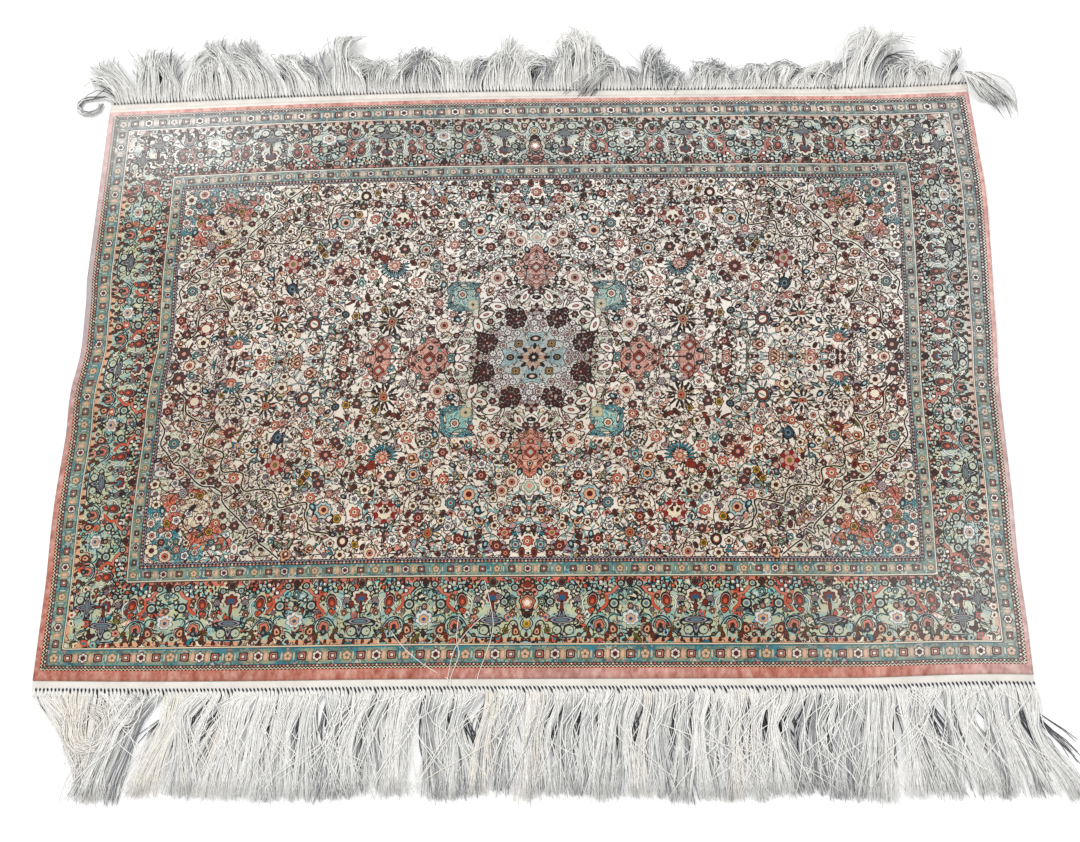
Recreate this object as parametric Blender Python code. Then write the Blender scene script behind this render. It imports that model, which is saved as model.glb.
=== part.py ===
"""A small hand-knotted silk rug with plain-woven end bands and long knotted fringes, lying flat.

Metres, +Z up. The origin is on the underside at the middle of the knotted sheet. The warps run
along Y, so both fringes leave the long sides: the front one towards -Y, the back one towards +Y.

Three solids:
    knotted_sheet   the pile sheet with its plain coloured rim, gently rippled near both selvedges
    front_fringe    the plain-woven front band with its locks lying out straight on the floor
    back_fringe     the plain-woven back band with its locks crumpled into a low heap behind it
"""

import math

import bmesh
import bpy
from mathutils import Vector

# The knotted sheet, as cut.
SHEET_WIDTH = 1.220  # along X, across the warps
SHEET_DEPTH = 0.824  # along Y, along the warps
SHEET_THICKNESS = 0.0036  # pile and foundation together
SHEET_COLUMNS = 36
SHEET_ROWS = 24

# The plain-woven end bands and the locks that are fused into them.
BAND_WIDTH = 0.012
BAND_THICKNESS = 0.0016
JOINT_GAP = 0.0003  # between the sheet and each band
LOCKS = 120  # on each band
LOCK_ROOT_SHARE = 0.72  # of the pitch, at a lock's root
LOCK_TIP_SHARE = 0.34  # of the pitch, at its tip
LOCK_RISE = 0.0026  # height of a lock's three-sided section at its fullest
LOCK_TIP_RISE_SHARE = 0.55  # of that height, at its tip
FRONT_STEPS = 6
BACK_STEPS = 8
PATH_STEP = 0.02  # share of a lock's length over which its direction is taken

# The front locks: their length, how unevenly they end, and the slow sideways sway along them.
FRONT_REACH = 0.137
FRONT_UNEVEN = 0.035  # share of the length
FRONT_UNEVEN_WAVE = 0.083  # along the rug
FRONT_SWAY = 0.0035
FRONT_SWAY_WAVE = 0.110  # along the rug
FRONT_SWAY_TURNS = 1.2  # along a lock
FRONT_DRIFT_POWER = 1.4  # a lock leaves the band straight and drifts later

# The back locks: where along a lock its hump peaks, how far it spreads, and its unevenness.
BACK_HUMP_AT = 0.55
BACK_HUMP_SPREAD = 0.45
BACK_UNEVEN = 0.22  # share of the hump and the reach
BACK_UNEVEN_WAVE = 0.047

# How far each side of the sheet departs from a straight line. "at" is the place along that side,
# "spread" is half the length of the bulge, and "out" is how far it stands out.
SIDE_BULGES = [
    {"side": "left", "at": 0.060, "spread": 0.085, "out": -0.007},
    {"side": "left", "at": -0.190, "spread": 0.110, "out": 0.003},
    {"side": "right", "at": 0.235, "spread": 0.300, "out": 0.012},
    {"side": "right", "at": -0.270, "spread": 0.090, "out": -0.002},
    {"side": "back", "at": -0.180, "spread": 0.560, "out": 0.008},
    {"side": "back", "at": 0.480, "spread": 0.170, "out": -0.003},
    {"side": "front", "at": -0.420, "spread": 0.300, "out": 0.002},
    {"side": "front", "at": 0.560, "spread": 0.160, "out": -0.004},
]

# Low ripples in the sheet: a ridge from its middle (x, y), "length" and "width" being half its
# size along and across the direction "turn", and "height" its crest above the floor.
RIPPLES = [
    {"x": -0.540, "y": 0.075, "turn": 4, "length": 0.175, "width": 0.050, "height": 0.0075},
    {"x": -0.575, "y": -0.045, "turn": -6, "length": 0.120, "width": 0.045, "height": 0.0045},
    {"x": 0.560, "y": 0.250, "turn": -8, "length": 0.150, "width": 0.070, "height": 0.0060},
    {"x": 0.585, "y": 0.030, "turn": 5, "length": 0.110, "width": 0.055, "height": 0.0040},
]

# Sideways drift of the front locks at their tips, from left to right.
FRONT_DRIFT = [
    {"at": -0.610, "drift": 0.034},
    {"at": -0.540, "drift": 0.010},
    {"at": -0.440, "drift": -0.030},
    {"at": -0.250, "drift": -0.022},
    {"at": -0.080, "drift": -0.008},
    {"at": 0.120, "drift": -0.012},
    {"at": 0.300, "drift": -0.006},
    {"at": 0.480, "drift": 0.012},
    {"at": 0.610, "drift": 0.036},
]

# The back locks are pushed into a heap: how far behind the band each stretch reaches, how high it
# humps, and how far it leans along X.
BACK_HEAP = [
    {"at": -0.610, "reach": 0.078, "hump": 0.016, "drift": -0.026},
    {"at": -0.470, "reach": 0.090, "hump": 0.026, "drift": -0.014},
    {"at": -0.330, "reach": 0.076, "hump": 0.022, "drift": 0.016},
    {"at": -0.160, "reach": 0.066, "hump": 0.026, "drift": 0.020},
    {"at": 0.060, "reach": 0.084, "hump": 0.030, "drift": 0.012},
    {"at": 0.200, "reach": 0.048, "hump": 0.018, "drift": 0.016},
    {"at": 0.380, "reach": 0.050, "hump": 0.018, "drift": 0.022},
    {"at": 0.480, "reach": 0.096, "hump": 0.026, "drift": 0.030},
    {"at": 0.540, "reach": 0.060, "hump": 0.018, "drift": 0.026},
    {"at": 0.610, "reach": 0.056, "hump": 0.014, "drift": 0.036},
]

MATERIALS = {
    "knotted_sheet": {"color": (0.46, 0.39, 0.33), "roughness": 0.55},
    "front_fringe": {"color": (0.74, 0.72, 0.67), "roughness": 0.60},
    "back_fringe": {"color": (0.66, 0.65, 0.62), "roughness": 0.60},
}


def clear_scene():
    for obj in list(bpy.data.objects):
        bpy.data.objects.remove(obj)


def bump(distance):
    """1 at distance 0, falling smoothly to exactly 0 at distance 1."""
    if abs(distance) >= 1:
        return 0.0
    return (1 - distance * distance) ** 2


def along_table(rows, at, column):
    """A column of a table with an "at" column, eased between its rows."""
    if at <= rows[0]["at"]:
        return rows[0][column]
    for low, high in zip(rows, rows[1:]):
        if at <= high["at"]:
            share = (at - low["at"]) / (high["at"] - low["at"])
            ease = share * share * (3 - 2 * share)
            return low[column] + (high[column] - low[column]) * ease
    return rows[-1][column]


def bulge(side, at):
    rows = [row for row in SIDE_BULGES if row["side"] == side]
    return sum(row["out"] * bump((at - row["at"]) / row["spread"]) for row in rows)


def ripple_height(x, y):
    """Height of the sheet's underside above the floor."""
    total = 0.0
    for row in RIPPLES:
        turn = math.radians(row["turn"])
        dx, dy = x - row["x"], y - row["y"]
        along = dx * math.cos(turn) + dy * math.sin(turn)
        across = dy * math.cos(turn) - dx * math.sin(turn)
        total += row["height"] * bump(along / row["length"]) * bump(across / row["width"])
    return total


def sheet_point(u, v):
    """The place in the plan of the sheet's point at shares u across and v along, both 0 to 1."""
    flat_x, flat_y = (u - 0.5) * SHEET_WIDTH, (v - 0.5) * SHEET_DEPTH
    x = flat_x + bulge("right", flat_y) * u - bulge("left", flat_y) * (1 - u)
    y = flat_y + bulge("back", flat_x) * v - bulge("front", flat_x) * (1 - v)
    return x, y


def make_object(name, mesh_data):
    mesh = bpy.data.meshes.new(name)
    bmesh.ops.recalc_face_normals(mesh_data, faces=mesh_data.faces)
    mesh_data.to_mesh(mesh)
    mesh_data.free()
    material = bpy.data.materials.new(name + "_silk")
    material.use_nodes = True
    shader = material.node_tree.nodes["Principled BSDF"]
    shader.inputs["Base Color"].default_value = (*MATERIALS[name]["color"], 1)
    shader.inputs["Roughness"].default_value = MATERIALS[name]["roughness"]
    shader.inputs["Metallic"].default_value = 0.0
    mesh.materials.append(material)
    obj = bpy.data.objects.new(name, mesh)
    bpy.context.scene.collection.objects.link(obj)
    return obj


def build_sheet():
    """The rug's body: one even sheet that follows the outline and the ripples."""
    made = bmesh.new()
    layers = []
    for thickness in (0.0, SHEET_THICKNESS):
        grid = []
        for j in range(SHEET_ROWS + 1):
            row = []
            for i in range(SHEET_COLUMNS + 1):
                x, y = sheet_point(i / SHEET_COLUMNS, j / SHEET_ROWS)
                row.append(made.verts.new((x, y, ripple_height(x, y) + thickness)))
            grid.append(row)
        layers.append(grid)
    under, over = layers
    for grid in (under, over):
        for j in range(SHEET_ROWS):
            for i in range(SHEET_COLUMNS):
                made.faces.new((grid[j][i], grid[j][i + 1], grid[j + 1][i + 1], grid[j + 1][i]))
    for j in (0, SHEET_ROWS):
        for i in range(SHEET_COLUMNS):
            made.faces.new((under[j][i], under[j][i + 1], over[j][i + 1], over[j][i]))
    for i in (0, SHEET_COLUMNS):
        for j in range(SHEET_ROWS):
            made.faces.new((under[j][i], under[j + 1][i], over[j + 1][i], over[j][i]))
    return make_object("knotted_sheet", made)


def front_path(root_x, share):
    """A front lock's underside, from the band's edge (share 0) to its tip (share 1): x, y out, z."""
    drift = along_table(FRONT_DRIFT, root_x, "drift")
    turns = FRONT_SWAY_TURNS * share + root_x / FRONT_SWAY_WAVE
    sway = FRONT_SWAY * share * math.sin(2 * math.pi * turns)
    uneven = 1 + FRONT_UNEVEN * math.sin(2 * math.pi * root_x / FRONT_UNEVEN_WAVE)
    x = root_x + drift * share**FRONT_DRIFT_POWER + sway
    return x, FRONT_REACH * share * uneven, 0.0


def back_path(root_x, share):
    """A back lock's underside: out along the floor, up over the hump, and down to rest again."""
    reach = along_table(BACK_HEAP, root_x, "reach")
    hump = along_table(BACK_HEAP, root_x, "hump")
    drift = along_table(BACK_HEAP, root_x, "drift")
    uneven = 1 + BACK_UNEVEN * math.sin(2 * math.pi * root_x / BACK_UNEVEN_WAVE)
    lift = hump * uneven * bump((share - BACK_HUMP_AT) / BACK_HUMP_SPREAD)
    return root_x + drift * share, reach * uneven * share, lift


def section(path, root_x, share, pitch, outward):
    """The three corners of a lock's section: two underneath and the ridge on top."""
    low, high = max(0.0, share - PATH_STEP), min(1.0, share + PATH_STEP)
    here = Vector(path(root_x, share))
    travel = Vector(path(root_x, high)) - Vector(path(root_x, low))
    travel.normalize()
    side = Vector((travel.y, -travel.x, 0)).normalized()
    up = side.cross(travel)
    half = 0.5 * pitch * (LOCK_ROOT_SHARE + (LOCK_TIP_SHARE - LOCK_ROOT_SHARE) * share)
    rise = LOCK_RISE * (1 + (LOCK_TIP_RISE_SHARE - 1) * share)
    corners = (here - side * half, here + side * half, here + up * rise)
    return [Vector((c.x, c.y * outward, c.z)) for c in corners]


def build_fringe(name, outward, path, steps):
    """A woven band with its locks. outward is -1 for the front and 1 for the back."""
    made = bmesh.new()
    pitch = SHEET_WIDTH / LOCKS
    sheet_end = 0 if outward < 0 else 1

    def corner(x, from_sheet, z):
        """A point at x, this far out from the end of the sheet."""
        u = x / SHEET_WIDTH + 0.5
        place_x, place_y = sheet_point(u, sheet_end)
        return Vector((place_x, place_y + outward * from_sheet, z))

    inner, outer = JOINT_GAP, JOINT_GAP + BAND_WIDTH

    def column(x):
        """The band's four corners at x, as vertices: inner low, inner high, outer low, outer high."""
        places = ((inner, 0), (inner, BAND_THICKNESS), (outer, 0), (outer, BAND_THICKNESS))
        return [made.verts.new(corner(x, out, z)) for out, z in places]

    first = column(-SHEET_WIDTH / 2)
    last = column(SHEET_WIDTH / 2)
    stations = []
    for k in range(LOCKS):
        root_x = (k + 0.5) * pitch - SHEET_WIDTH / 2
        half = 0.5 * pitch * LOCK_ROOT_SHARE
        station = {
            "inner_low": made.verts.new(corner(root_x, inner, 0)),
            "inner_high": made.verts.new(corner(root_x, inner, BAND_THICKNESS)),
            "low_left": made.verts.new(corner(root_x - half, outer, 0)),
            "low_right": made.verts.new(corner(root_x + half, outer, 0)),
            "high": made.verts.new(corner(root_x, outer, BAND_THICKNESS)),
        }
        stations.append(station)
        ring = [station["low_left"], station["low_right"], station["high"]]
        base = corner(root_x, outer, 0)
        made.faces.new((station["inner_low"], station["low_left"], station["low_right"]))
        for n in range(1, steps + 1):
            shape = section(path, root_x, n / steps, pitch, outward)
            offset = Vector((base.x - root_x, base.y, 0))
            new_ring = [made.verts.new(point + offset) for point in shape]
            for a in range(3):
                b = (a + 1) % 3
                made.faces.new((ring[a], ring[b], new_ring[b], new_ring[a]))
            ring = new_ring
        made.faces.new(ring)

    for left, right in zip(stations, stations[1:]):
        made.faces.new((left["inner_low"], left["inner_high"], right["inner_high"], right["inner_low"]))
        made.faces.new((left["inner_high"], left["high"], right["high"], right["inner_high"]))
        made.faces.new((left["inner_low"], left["low_right"], right["low_left"], right["inner_low"]))
        made.faces.new((left["low_right"], left["high"], right["high"], right["low_left"]))

    start, end = stations[0], stations[-1]
    for edge, station, low in ((first, start, "low_left"), (last, end, "low_right")):
        inner_low, inner_high, outer_low, outer_high = edge
        made.faces.new((inner_low, inner_high, outer_high, outer_low))
        made.faces.new((inner_low, inner_high, station["inner_high"], station["inner_low"]))
        made.faces.new((inner_high, outer_high, station["high"], station["inner_high"]))
        made.faces.new((inner_low, outer_low, station[low], station["inner_low"]))
        made.faces.new((outer_low, outer_high, station["high"], station[low]))
    return make_object(name, made)


def main():
    clear_scene()
    build_sheet()
    build_fringe("front_fringe", -1, front_path, FRONT_STEPS)
    build_fringe("back_fringe", 1, back_path, BACK_STEPS)


main()
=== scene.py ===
"""Looks of the silk rug: knotted floral pattern, woven end bands and thousands of loose silk warps.

Metres, +Z up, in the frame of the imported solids. The pattern is laid out in millimetres in the rug's
own flat coordinates, mirrored about both axes, and drawn by the material: every small face of the
pile knows the flowers and stems that cross it, and the nodes draw their petals, hearts and outlines.
"""

import math
import random
from functools import partialmethod

import bpy
import numpy as np
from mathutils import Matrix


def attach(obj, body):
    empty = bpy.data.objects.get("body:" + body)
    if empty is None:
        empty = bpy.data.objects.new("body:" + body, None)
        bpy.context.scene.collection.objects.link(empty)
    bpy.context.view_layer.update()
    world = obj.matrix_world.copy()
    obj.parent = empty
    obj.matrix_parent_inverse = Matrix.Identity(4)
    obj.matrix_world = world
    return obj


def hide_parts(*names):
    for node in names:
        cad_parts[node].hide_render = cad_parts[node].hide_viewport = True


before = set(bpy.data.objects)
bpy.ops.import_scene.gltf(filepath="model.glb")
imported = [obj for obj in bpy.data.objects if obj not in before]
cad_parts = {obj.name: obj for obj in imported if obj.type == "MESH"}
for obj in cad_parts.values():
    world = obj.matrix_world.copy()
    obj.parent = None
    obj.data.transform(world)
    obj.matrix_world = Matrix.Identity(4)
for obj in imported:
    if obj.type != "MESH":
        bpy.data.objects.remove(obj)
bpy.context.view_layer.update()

# ---------------------------------------------------------------- sizes, as in the solids (metres)
SHEET_WIDTH = 1.220
SHEET_DEPTH = 0.824
SHEET_THICKNESS = 0.0036
BAND_WIDTH = 0.012
JOINT_GAP = 0.0003


def rows_of(columns, *rows):
    """A table as dicts, from the names of its columns and its rows."""
    return [dict(zip(columns.split(), row)) for row in rows]


SIDE_BULGES = rows_of(
    "side at spread out",
    ("left", 0.06, 0.085, -0.007),
    ("left", -0.19, 0.11, 0.003),
    ("right", 0.235, 0.3, 0.012),
    ("right", -0.27, 0.09, -0.002),
    ("back", -0.18, 0.56, 0.008),
    ("back", 0.48, 0.17, -0.003),
    ("front", -0.42, 0.3, 0.002),
    ("front", 0.56, 0.16, -0.004),
)
RIPPLES = rows_of(
    "x y turn length width height",
    (-0.54, 0.075, 4, 0.175, 0.05, 0.0075),
    (-0.575, -0.045, -6, 0.12, 0.045, 0.0045),
    (0.56, 0.25, -8, 0.15, 0.07, 0.006),
    (0.585, 0.03, 5, 0.11, 0.055, 0.004),
)

# ---------------------------------------------------------------- silk colours, sRGB 0-255
SILKS = {
    "ivory": (238, 228, 214), "cream": (236, 222, 198), "white": (240, 236, 228), "dark": (24, 17, 14),
    "brown": (58, 36, 27), "mauve": (80, 56, 56), "navy": (18, 24, 29), "coral": (212, 124, 110),
    "salmon": (214, 142, 128), "rust": (126, 60, 48), "maroon": (84, 20, 16), "red": (148, 44, 40),
    "pink": (218, 160, 146), "peach": (226, 180, 152), "gold": (222, 172, 96), "olive": (112, 108, 58),
    "green": (114, 144, 118), "teal": (62, 128, 138), "aqua": (146, 194, 186), "pale_green": (190, 195, 174),
    "slate": (104, 120, 124), "lilac": (168, 156, 164), "blue": (62, 92, 118), "sage": (146, 158, 132),
    "sky": (172, 198, 198), "tan": (182, 150, 112), "beige": (208, 190, 156), "mist": (224, 222, 202),
}
SILK_NAMES = list(SILKS)

# ---------------------------------------------------------------- layout of the pattern, in mm
HALF_W, HALF_D = SHEET_WIDTH * 500, SHEET_DEPTH * 500
FIELD_W, FIELD_D = 487.5, 268.5  # half sizes of the ivory field
SHIFT_X, SHIFT_Y = 6.5, 9.0  # the weaver's medallion sits a little off the middle
BAND_EDGES = [  # shares of the border's depth, from the rim inwards
    (0.000, "coral"), (0.079, "dark"), (0.125, "teal"), (0.255, "brown"), (0.262, "cream"), (0.272, "brown"),
    (0.278, "pale_green"), (0.824, "brown"), (0.831, "cream"), (0.840, "brown"), (0.846, "teal"),
    (0.950, "dark"),
    (1.000, "ivory"),
]
MAIN_OUT, MAIN_IN = 0.278, 0.824  # the main border
GUARDS = [(0.079, 0.125), (0.950, 1.000)]
FLOWER_BANDS = [(0.125, 0.255), (0.846, 0.950)]

# Number of petals, their depth (negative for pointed tips), how far the outline leans out along the
# flower's own axis, width over length, the ring's and the heart's share of the radius, and the silks
# of the outline, petals, ring and heart.
KINDS = {
    "rosette": (6, 0.26, 0, 1, 0.42, 0.22, "mauve ivory pink maroon"),
    "rosette_grey": (6, 0.26, 0, 1, 0.4, 0.22, "mauve lilac ivory brown"),
    "rosette_pale": (5, 0.3, 0, 1, 0.4, 0.2, "brown white lilac dark"),
    "rosette_red": (6, 0.22, 0, 1, 0.5, 0.24, "dark rust pink maroon"),
    "rosette_blue": (8, 0.18, 0, 1, 0.5, 0.25, "navy slate aqua red"),
    "rosette_gold": (5, 0.24, 0, 1, 0.45, 0.2, "brown gold olive dark"),
    "rosette_pink": (5, 0.26, 0, 1, 0.5, 0.25, "brown pink cream red"),
    "rosette_green": (5, 0.2, 0, 1, 0.5, 0.22, "dark sage pale_green dark"),
    "bell": (5, 0.3, 0.35, 0.8, 0.5, 0.22, "brown peach rust cream"),
    "bell_blue": (5, 0.3, 0.35, 0.8, 0.5, 0.22, "navy aqua slate cream"),
    "bud": (0, 0, 0.25, 0.62, 0.55, 0, "brown coral maroon maroon"),
    "bud_teal": (0, 0, 0.25, 0.62, 0.55, 0, "navy teal sky sky"),
    "bud_dark": (0, 0, 0.2, 0.62, 0.5, 0, "dark slate lilac dark"),
    "star_ground": (8, -0.3, 0, 0.88, 0, 0, "slate sky sky sky"),
    "ring_ground": (8, 0.12, 0, 0.9, 0, 0, "dark lilac lilac lilac"),
    "centre": (12, -0.34, 0, 1, 0.4, 0.13, "brown peach dark cream"),
    "oval_red": (0, 0, 0, 0.6, 0.6, 0.3, "dark maroon pink ivory"),
    "oval_olive": (0, 0, 0, 0.85, 0.6, 0.3, "dark olive tan dark"),
    "gold_eye": (4, 0.16, 0, 1, 0.55, 0.3, "dark tan gold dark"),
    "dot_sky": (0, 0, 0, 1, 0, 0, "navy sky aqua aqua"),
    "dot_rust": (0, 0, 0, 1, 0, 0, "navy coral aqua aqua"),
    "cluster": (7, 0.3, 0, 1, 0.24, 0, "dark maroon pink pink"),
    "calyx": (0, 0, 0.4, 0.56, 0.3, 0, "slate ivory salmon salmon"),
    "lace": (6, 0.34, 0, 1, 0, 0.2, "mauve white lilac dark"),
    "drop": (0, 0, 0.5, 0.5, 0, 0, "dark dark dark dark"),
    "lotus_cream": (5, 0.25, 0.3, 0.9, 0.62, 0.3, "slate cream pale_green pink"),
    "lozenge": (4, -0.34, 0, 1, 0.74, 0.2, "maroon salmon pink aqua"),
    "cart_pink": (6, 0.14, 0, 0.5, 0.8, 0, "maroon salmon pink blue"),
    "cart_teal": (4, 0.2, 0, 1, 0.7, 0, "navy teal aqua cream"),
    "peony": (14, 0.16, 0, 1, 0.44, 0.24, "rust cream salmon brown"),
    "spiky": (12, 0.2, 0, 1, 0.52, 0.22, "brown tan coral dark"),
    "fan_teal": (14, 0.16, 0, 1, 0.4, 0, "maroon salmon peach rust"),
    "fan_gold": (9, -0.2, 0.15, 1, 0.56, 0.28, "dark sky peach maroon"),
    "lotus_red": (10, -0.2, 0, 0.96, 0.6, 0, "maroon red cream coral"),
    "disc_red": (0, 0, 0.12, 0.9, 0.74, 0.46, "dark slate rust cream"),
    "disc_coral": (2, -0.2, 0, 0.9, 0.62, 0.3, "maroon rust mauve pink"),
    "disc_wine": (10, 0.18, 0, 1.15, 0.52, 0.26, "maroon red pink olive"),
    "disc_blue": (0, 0, 0.1, 0.85, 0.62, 0.3, "dark blue slate navy"),
    "base_red": (3, 0.3, 0.3, 0.9, 0, 0, "maroon rust rust rust"),
    "patch_coral": (5, 0.2, 0, 0.8, 0.5, 0, "rust salmon coral coral"),
    "patch_cream": (5, 0.2, 0, 0.9, 0, 0, "mauve cream cream cream"),
    "white_flower": (6, 0.28, 0, 1, 0.4, 0, "maroon ivory maroon pink"),
    "gold_flower": (5, 0.18, 0, 1, 0, 0.22, "olive peach gold dark"),
    "oval_peach": (0, 0, 0, 0.46, 0, 0, "tan peach pink pink"),
    "block": (4, -0.36, 0.1, 0.86, 0.4, 0, "brown coral cream cream"),
    "blossom": (7, 0.26, 0.25, 1.12, 0.52, 0.24, "slate white peach blue"),
    "boteh": (0, 0, 0.4, 0.7, 0.66, 0.3, "navy pink rust coral"),
    "spindle": (2, -0.62, 0, 1, 0.55, 0, "navy lilac slate pink"),
    "bead": (0, 0, 0.3, 0.88, 0, 0.15, "navy pale_green pale_green navy"),
    "palmette": (9, 0.22, 0.42, 1.1, 0.6, 0.34, "dark cream rust blue"),
    "acanthus": (5, 0.2, 0.2, 0.95, 0.7, 0.34, "navy pale_green salmon brown"),
    "crown": (4, 0.2, 0, 1, 0.64, 0.3, "dark pale_green maroon dark"),
    "knop": (0, 0, 0, 1, 0.45, 0, "brown gold peach peach"),
    "lilac_ring": (0, 0, 0, 0.95, 0.72, 0.4, "navy lilac pale_green slate"),
    "bulb": (4, 0.12, 0.15, 0.95, 0.6, 0.3, "navy pale_green gold olive"),
    "lily": (5, 0.24, 0.1, 1.1, 0.66, 0.34, "navy salmon peach white"),
    "curl_rust": (3, 0.24, 0.25, 0.85, 0.62, 0.26, "brown rust peach maroon"),
    "half_disc": (7, 0.16, 0.35, 1.15, 0.5, 0, "dark salmon rust rust"),
    "net": (6, 0.34, 0, 1, 0.55, 0.25, "navy sky pale_green cream"),
    "arc": (0, 0, 0, 0.26, 0, 0, "teal beige beige beige"),
    "rosette_line": (5, 0.26, 0, 1, 0.34, 0, "brown cream maroon cream"),
    "rosette_wine": (6, 0.24, 0, 1, 0.36, 0, "brown mauve pink cream"),
    "rosette_coral": (7, 0.26, 0, 1, 0.5, 0.22, "rust salmon cream rust"),
    "berry": (5, 0.2, 0, 1, 0.26, 0, "dark maroon pink cream"),
    "gem": (4, -0.3, 0, 1, 0.6, 0.3, "maroon coral pink aqua"),
    "tan_block": (4, 0.1, 0, 1, 0.26, 0, "sage beige brown brown"),
    "star_pink": (8, -0.24, 0, 1, 0.4, 0, "navy cream salmon cream"),
    "plot": (4, -0.4, 0, 1, 0, 0, "sage beige beige beige"),
    "patch_wine": (7, 0.18, 0, 1, 0, 0, "dark maroon maroon maroon"),
    "frond": (2, -0.62, 0, 1.35, 0.28, 0, "mauve ivory salmon pink"),
}
PLAIN_KINDS = {  # with one silk inside their outline: name, silk of the outline, silk
    (2, -0.55, 0, 1, 0, 0): (
        "leaf brown sage, leaf_cream mauve cream, leaf_olive dark olive, leaf_pink brown pink, "
        "leaf_aqua slate aqua, leaf_dark dark navy, leaf_rust dark rust, leaf_teal navy teal, "
        "leaf_slate dark slate, leaf_salmon rust peach, leaf_black dark brown, leaf_green teal green"
    ),
    (0, 0, 0, 1, 0, 0): "dot mauve white, dot_aqua navy aqua",
    (5, 0.16, 0, 0.8, 0, 0): "patch_teal teal teal, patch_green sage mist",
    (3, 0.25, 0.3, 0.8, 0, 0): "tongue brown coral, chip_red brown maroon, chip_rust brown rust",
}
for shape, rows in PLAIN_KINDS.items():
    for name, line_silk, silk in map(str.split, rows.split(", ")):
        KINDS[name] = (*shape, f"{line_silk} {silk} {silk} {silk}")
# Large forms that the stems run over.
UNDER_KINDS = {
    "ring_ground", "star_ground", "patch_wine", "patch_green", "patch_teal", "patch_coral", "patch_cream",
    "lozenge", "cart_pink", "cart_teal", "plot",
}
LINE_MM = 1.45  # width of a drawn outline

stamps = []  # x, y, turn, flip, length, width, kind, rank
stems = []  # points, half width, edge, silk, edge silk


def stamp(kind, x, y, size, turn=0.0, flip=1, rank=None):
    """One motif. Those of lower rank are covered by the others, and small ones lie on top."""
    width = size * KINDS[kind][3]
    if kind.startswith(("leaf", "spindle")):  # slender forms, given by their length
        turn, width = turn + 90, size / 1.55
        size = width * 0.40
    stamps.append((x, y, math.radians(turn), flip, size, width, kind, -size * width if rank is None else rank))


def copies(x, y, turn):
    """The four mirrored places of something at x, y: x, y, turn and whether it is flipped."""
    found = {}
    for sx in (1, -1):
        for sy in (1, -1):
            angle = turn if sx > 0 else 180 - turn
            angle = angle if sy > 0 else -angle
            found.setdefault((round(sx * x, 3), round(sy * y, 3)), (sx * x, sy * y, angle, sx * sy))
    return found.values()


def stamp4(kind, x, y, size, turn=0.0, rank=None):
    """A motif and its mirror images."""
    for cx, cy, angle, flip in copies(x, y, turn):
        stamp(kind, cx, cy, size, angle, flip, rank)


def smooth_line(points, step=2.0):
    """A rounded line through the points, as an array with a point every step or so."""
    points = [np.array(p, float) for p in points]
    ends = [2 * points[0] - points[1]] + points + [2 * points[-1] - points[-2]]
    line = [points[0]]
    for a, b, c, d in zip(ends, ends[1:], ends[2:], ends[3:]):
        count = max(1, int(np.linalg.norm(c - b) / step))
        for k in range(1, count + 1):
            t = k / count
            square, cube = 2 * a - 5 * b + 4 * c - d, 3 * b - a - 3 * c + d
            line.append(0.5 * (2 * b + (c - a) * t + square * t**2 + cube * t**3))
    return np.array(line)


def stem(points, half=0.55, silk="brown", edge=0.0, edge_silk="dark", smooth=True):
    line = smooth_line(points) if smooth else np.array(points, float)
    stems.append((line, half, edge, silk, edge_silk))


def stem4(points, **more):
    """A stem and its mirror images."""
    line = smooth_line(points)
    for sx in (1, -1):
        for sy in (1, -1):
            stem(line * (sx, sy), smooth=False, **more)


def spiral(cx, cy, start, radius, turns, hand=1, shrink=0.25):
    """Points of a spiral that winds in from radius to its shrink share."""
    count = max(8, int(abs(turns) * 16))
    line = []
    for k in range(count + 1):
        t = k / count
        r = radius * (1 - (1 - shrink) * t)
        angle = math.radians(start) + hand * turns * 2 * math.pi * t
        line.append((cx + r * math.cos(angle), cy + r * math.sin(angle)))
    return line


# ---------------------------------------------------------------- the field
def each(*groups):
    """Rows of kind, place (two numbers), size and turn, from groups of one kind; a turn of 0 is left out."""
    return [(kind, *place, 0)[:5] for kind, *places in groups for place in places]


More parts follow.
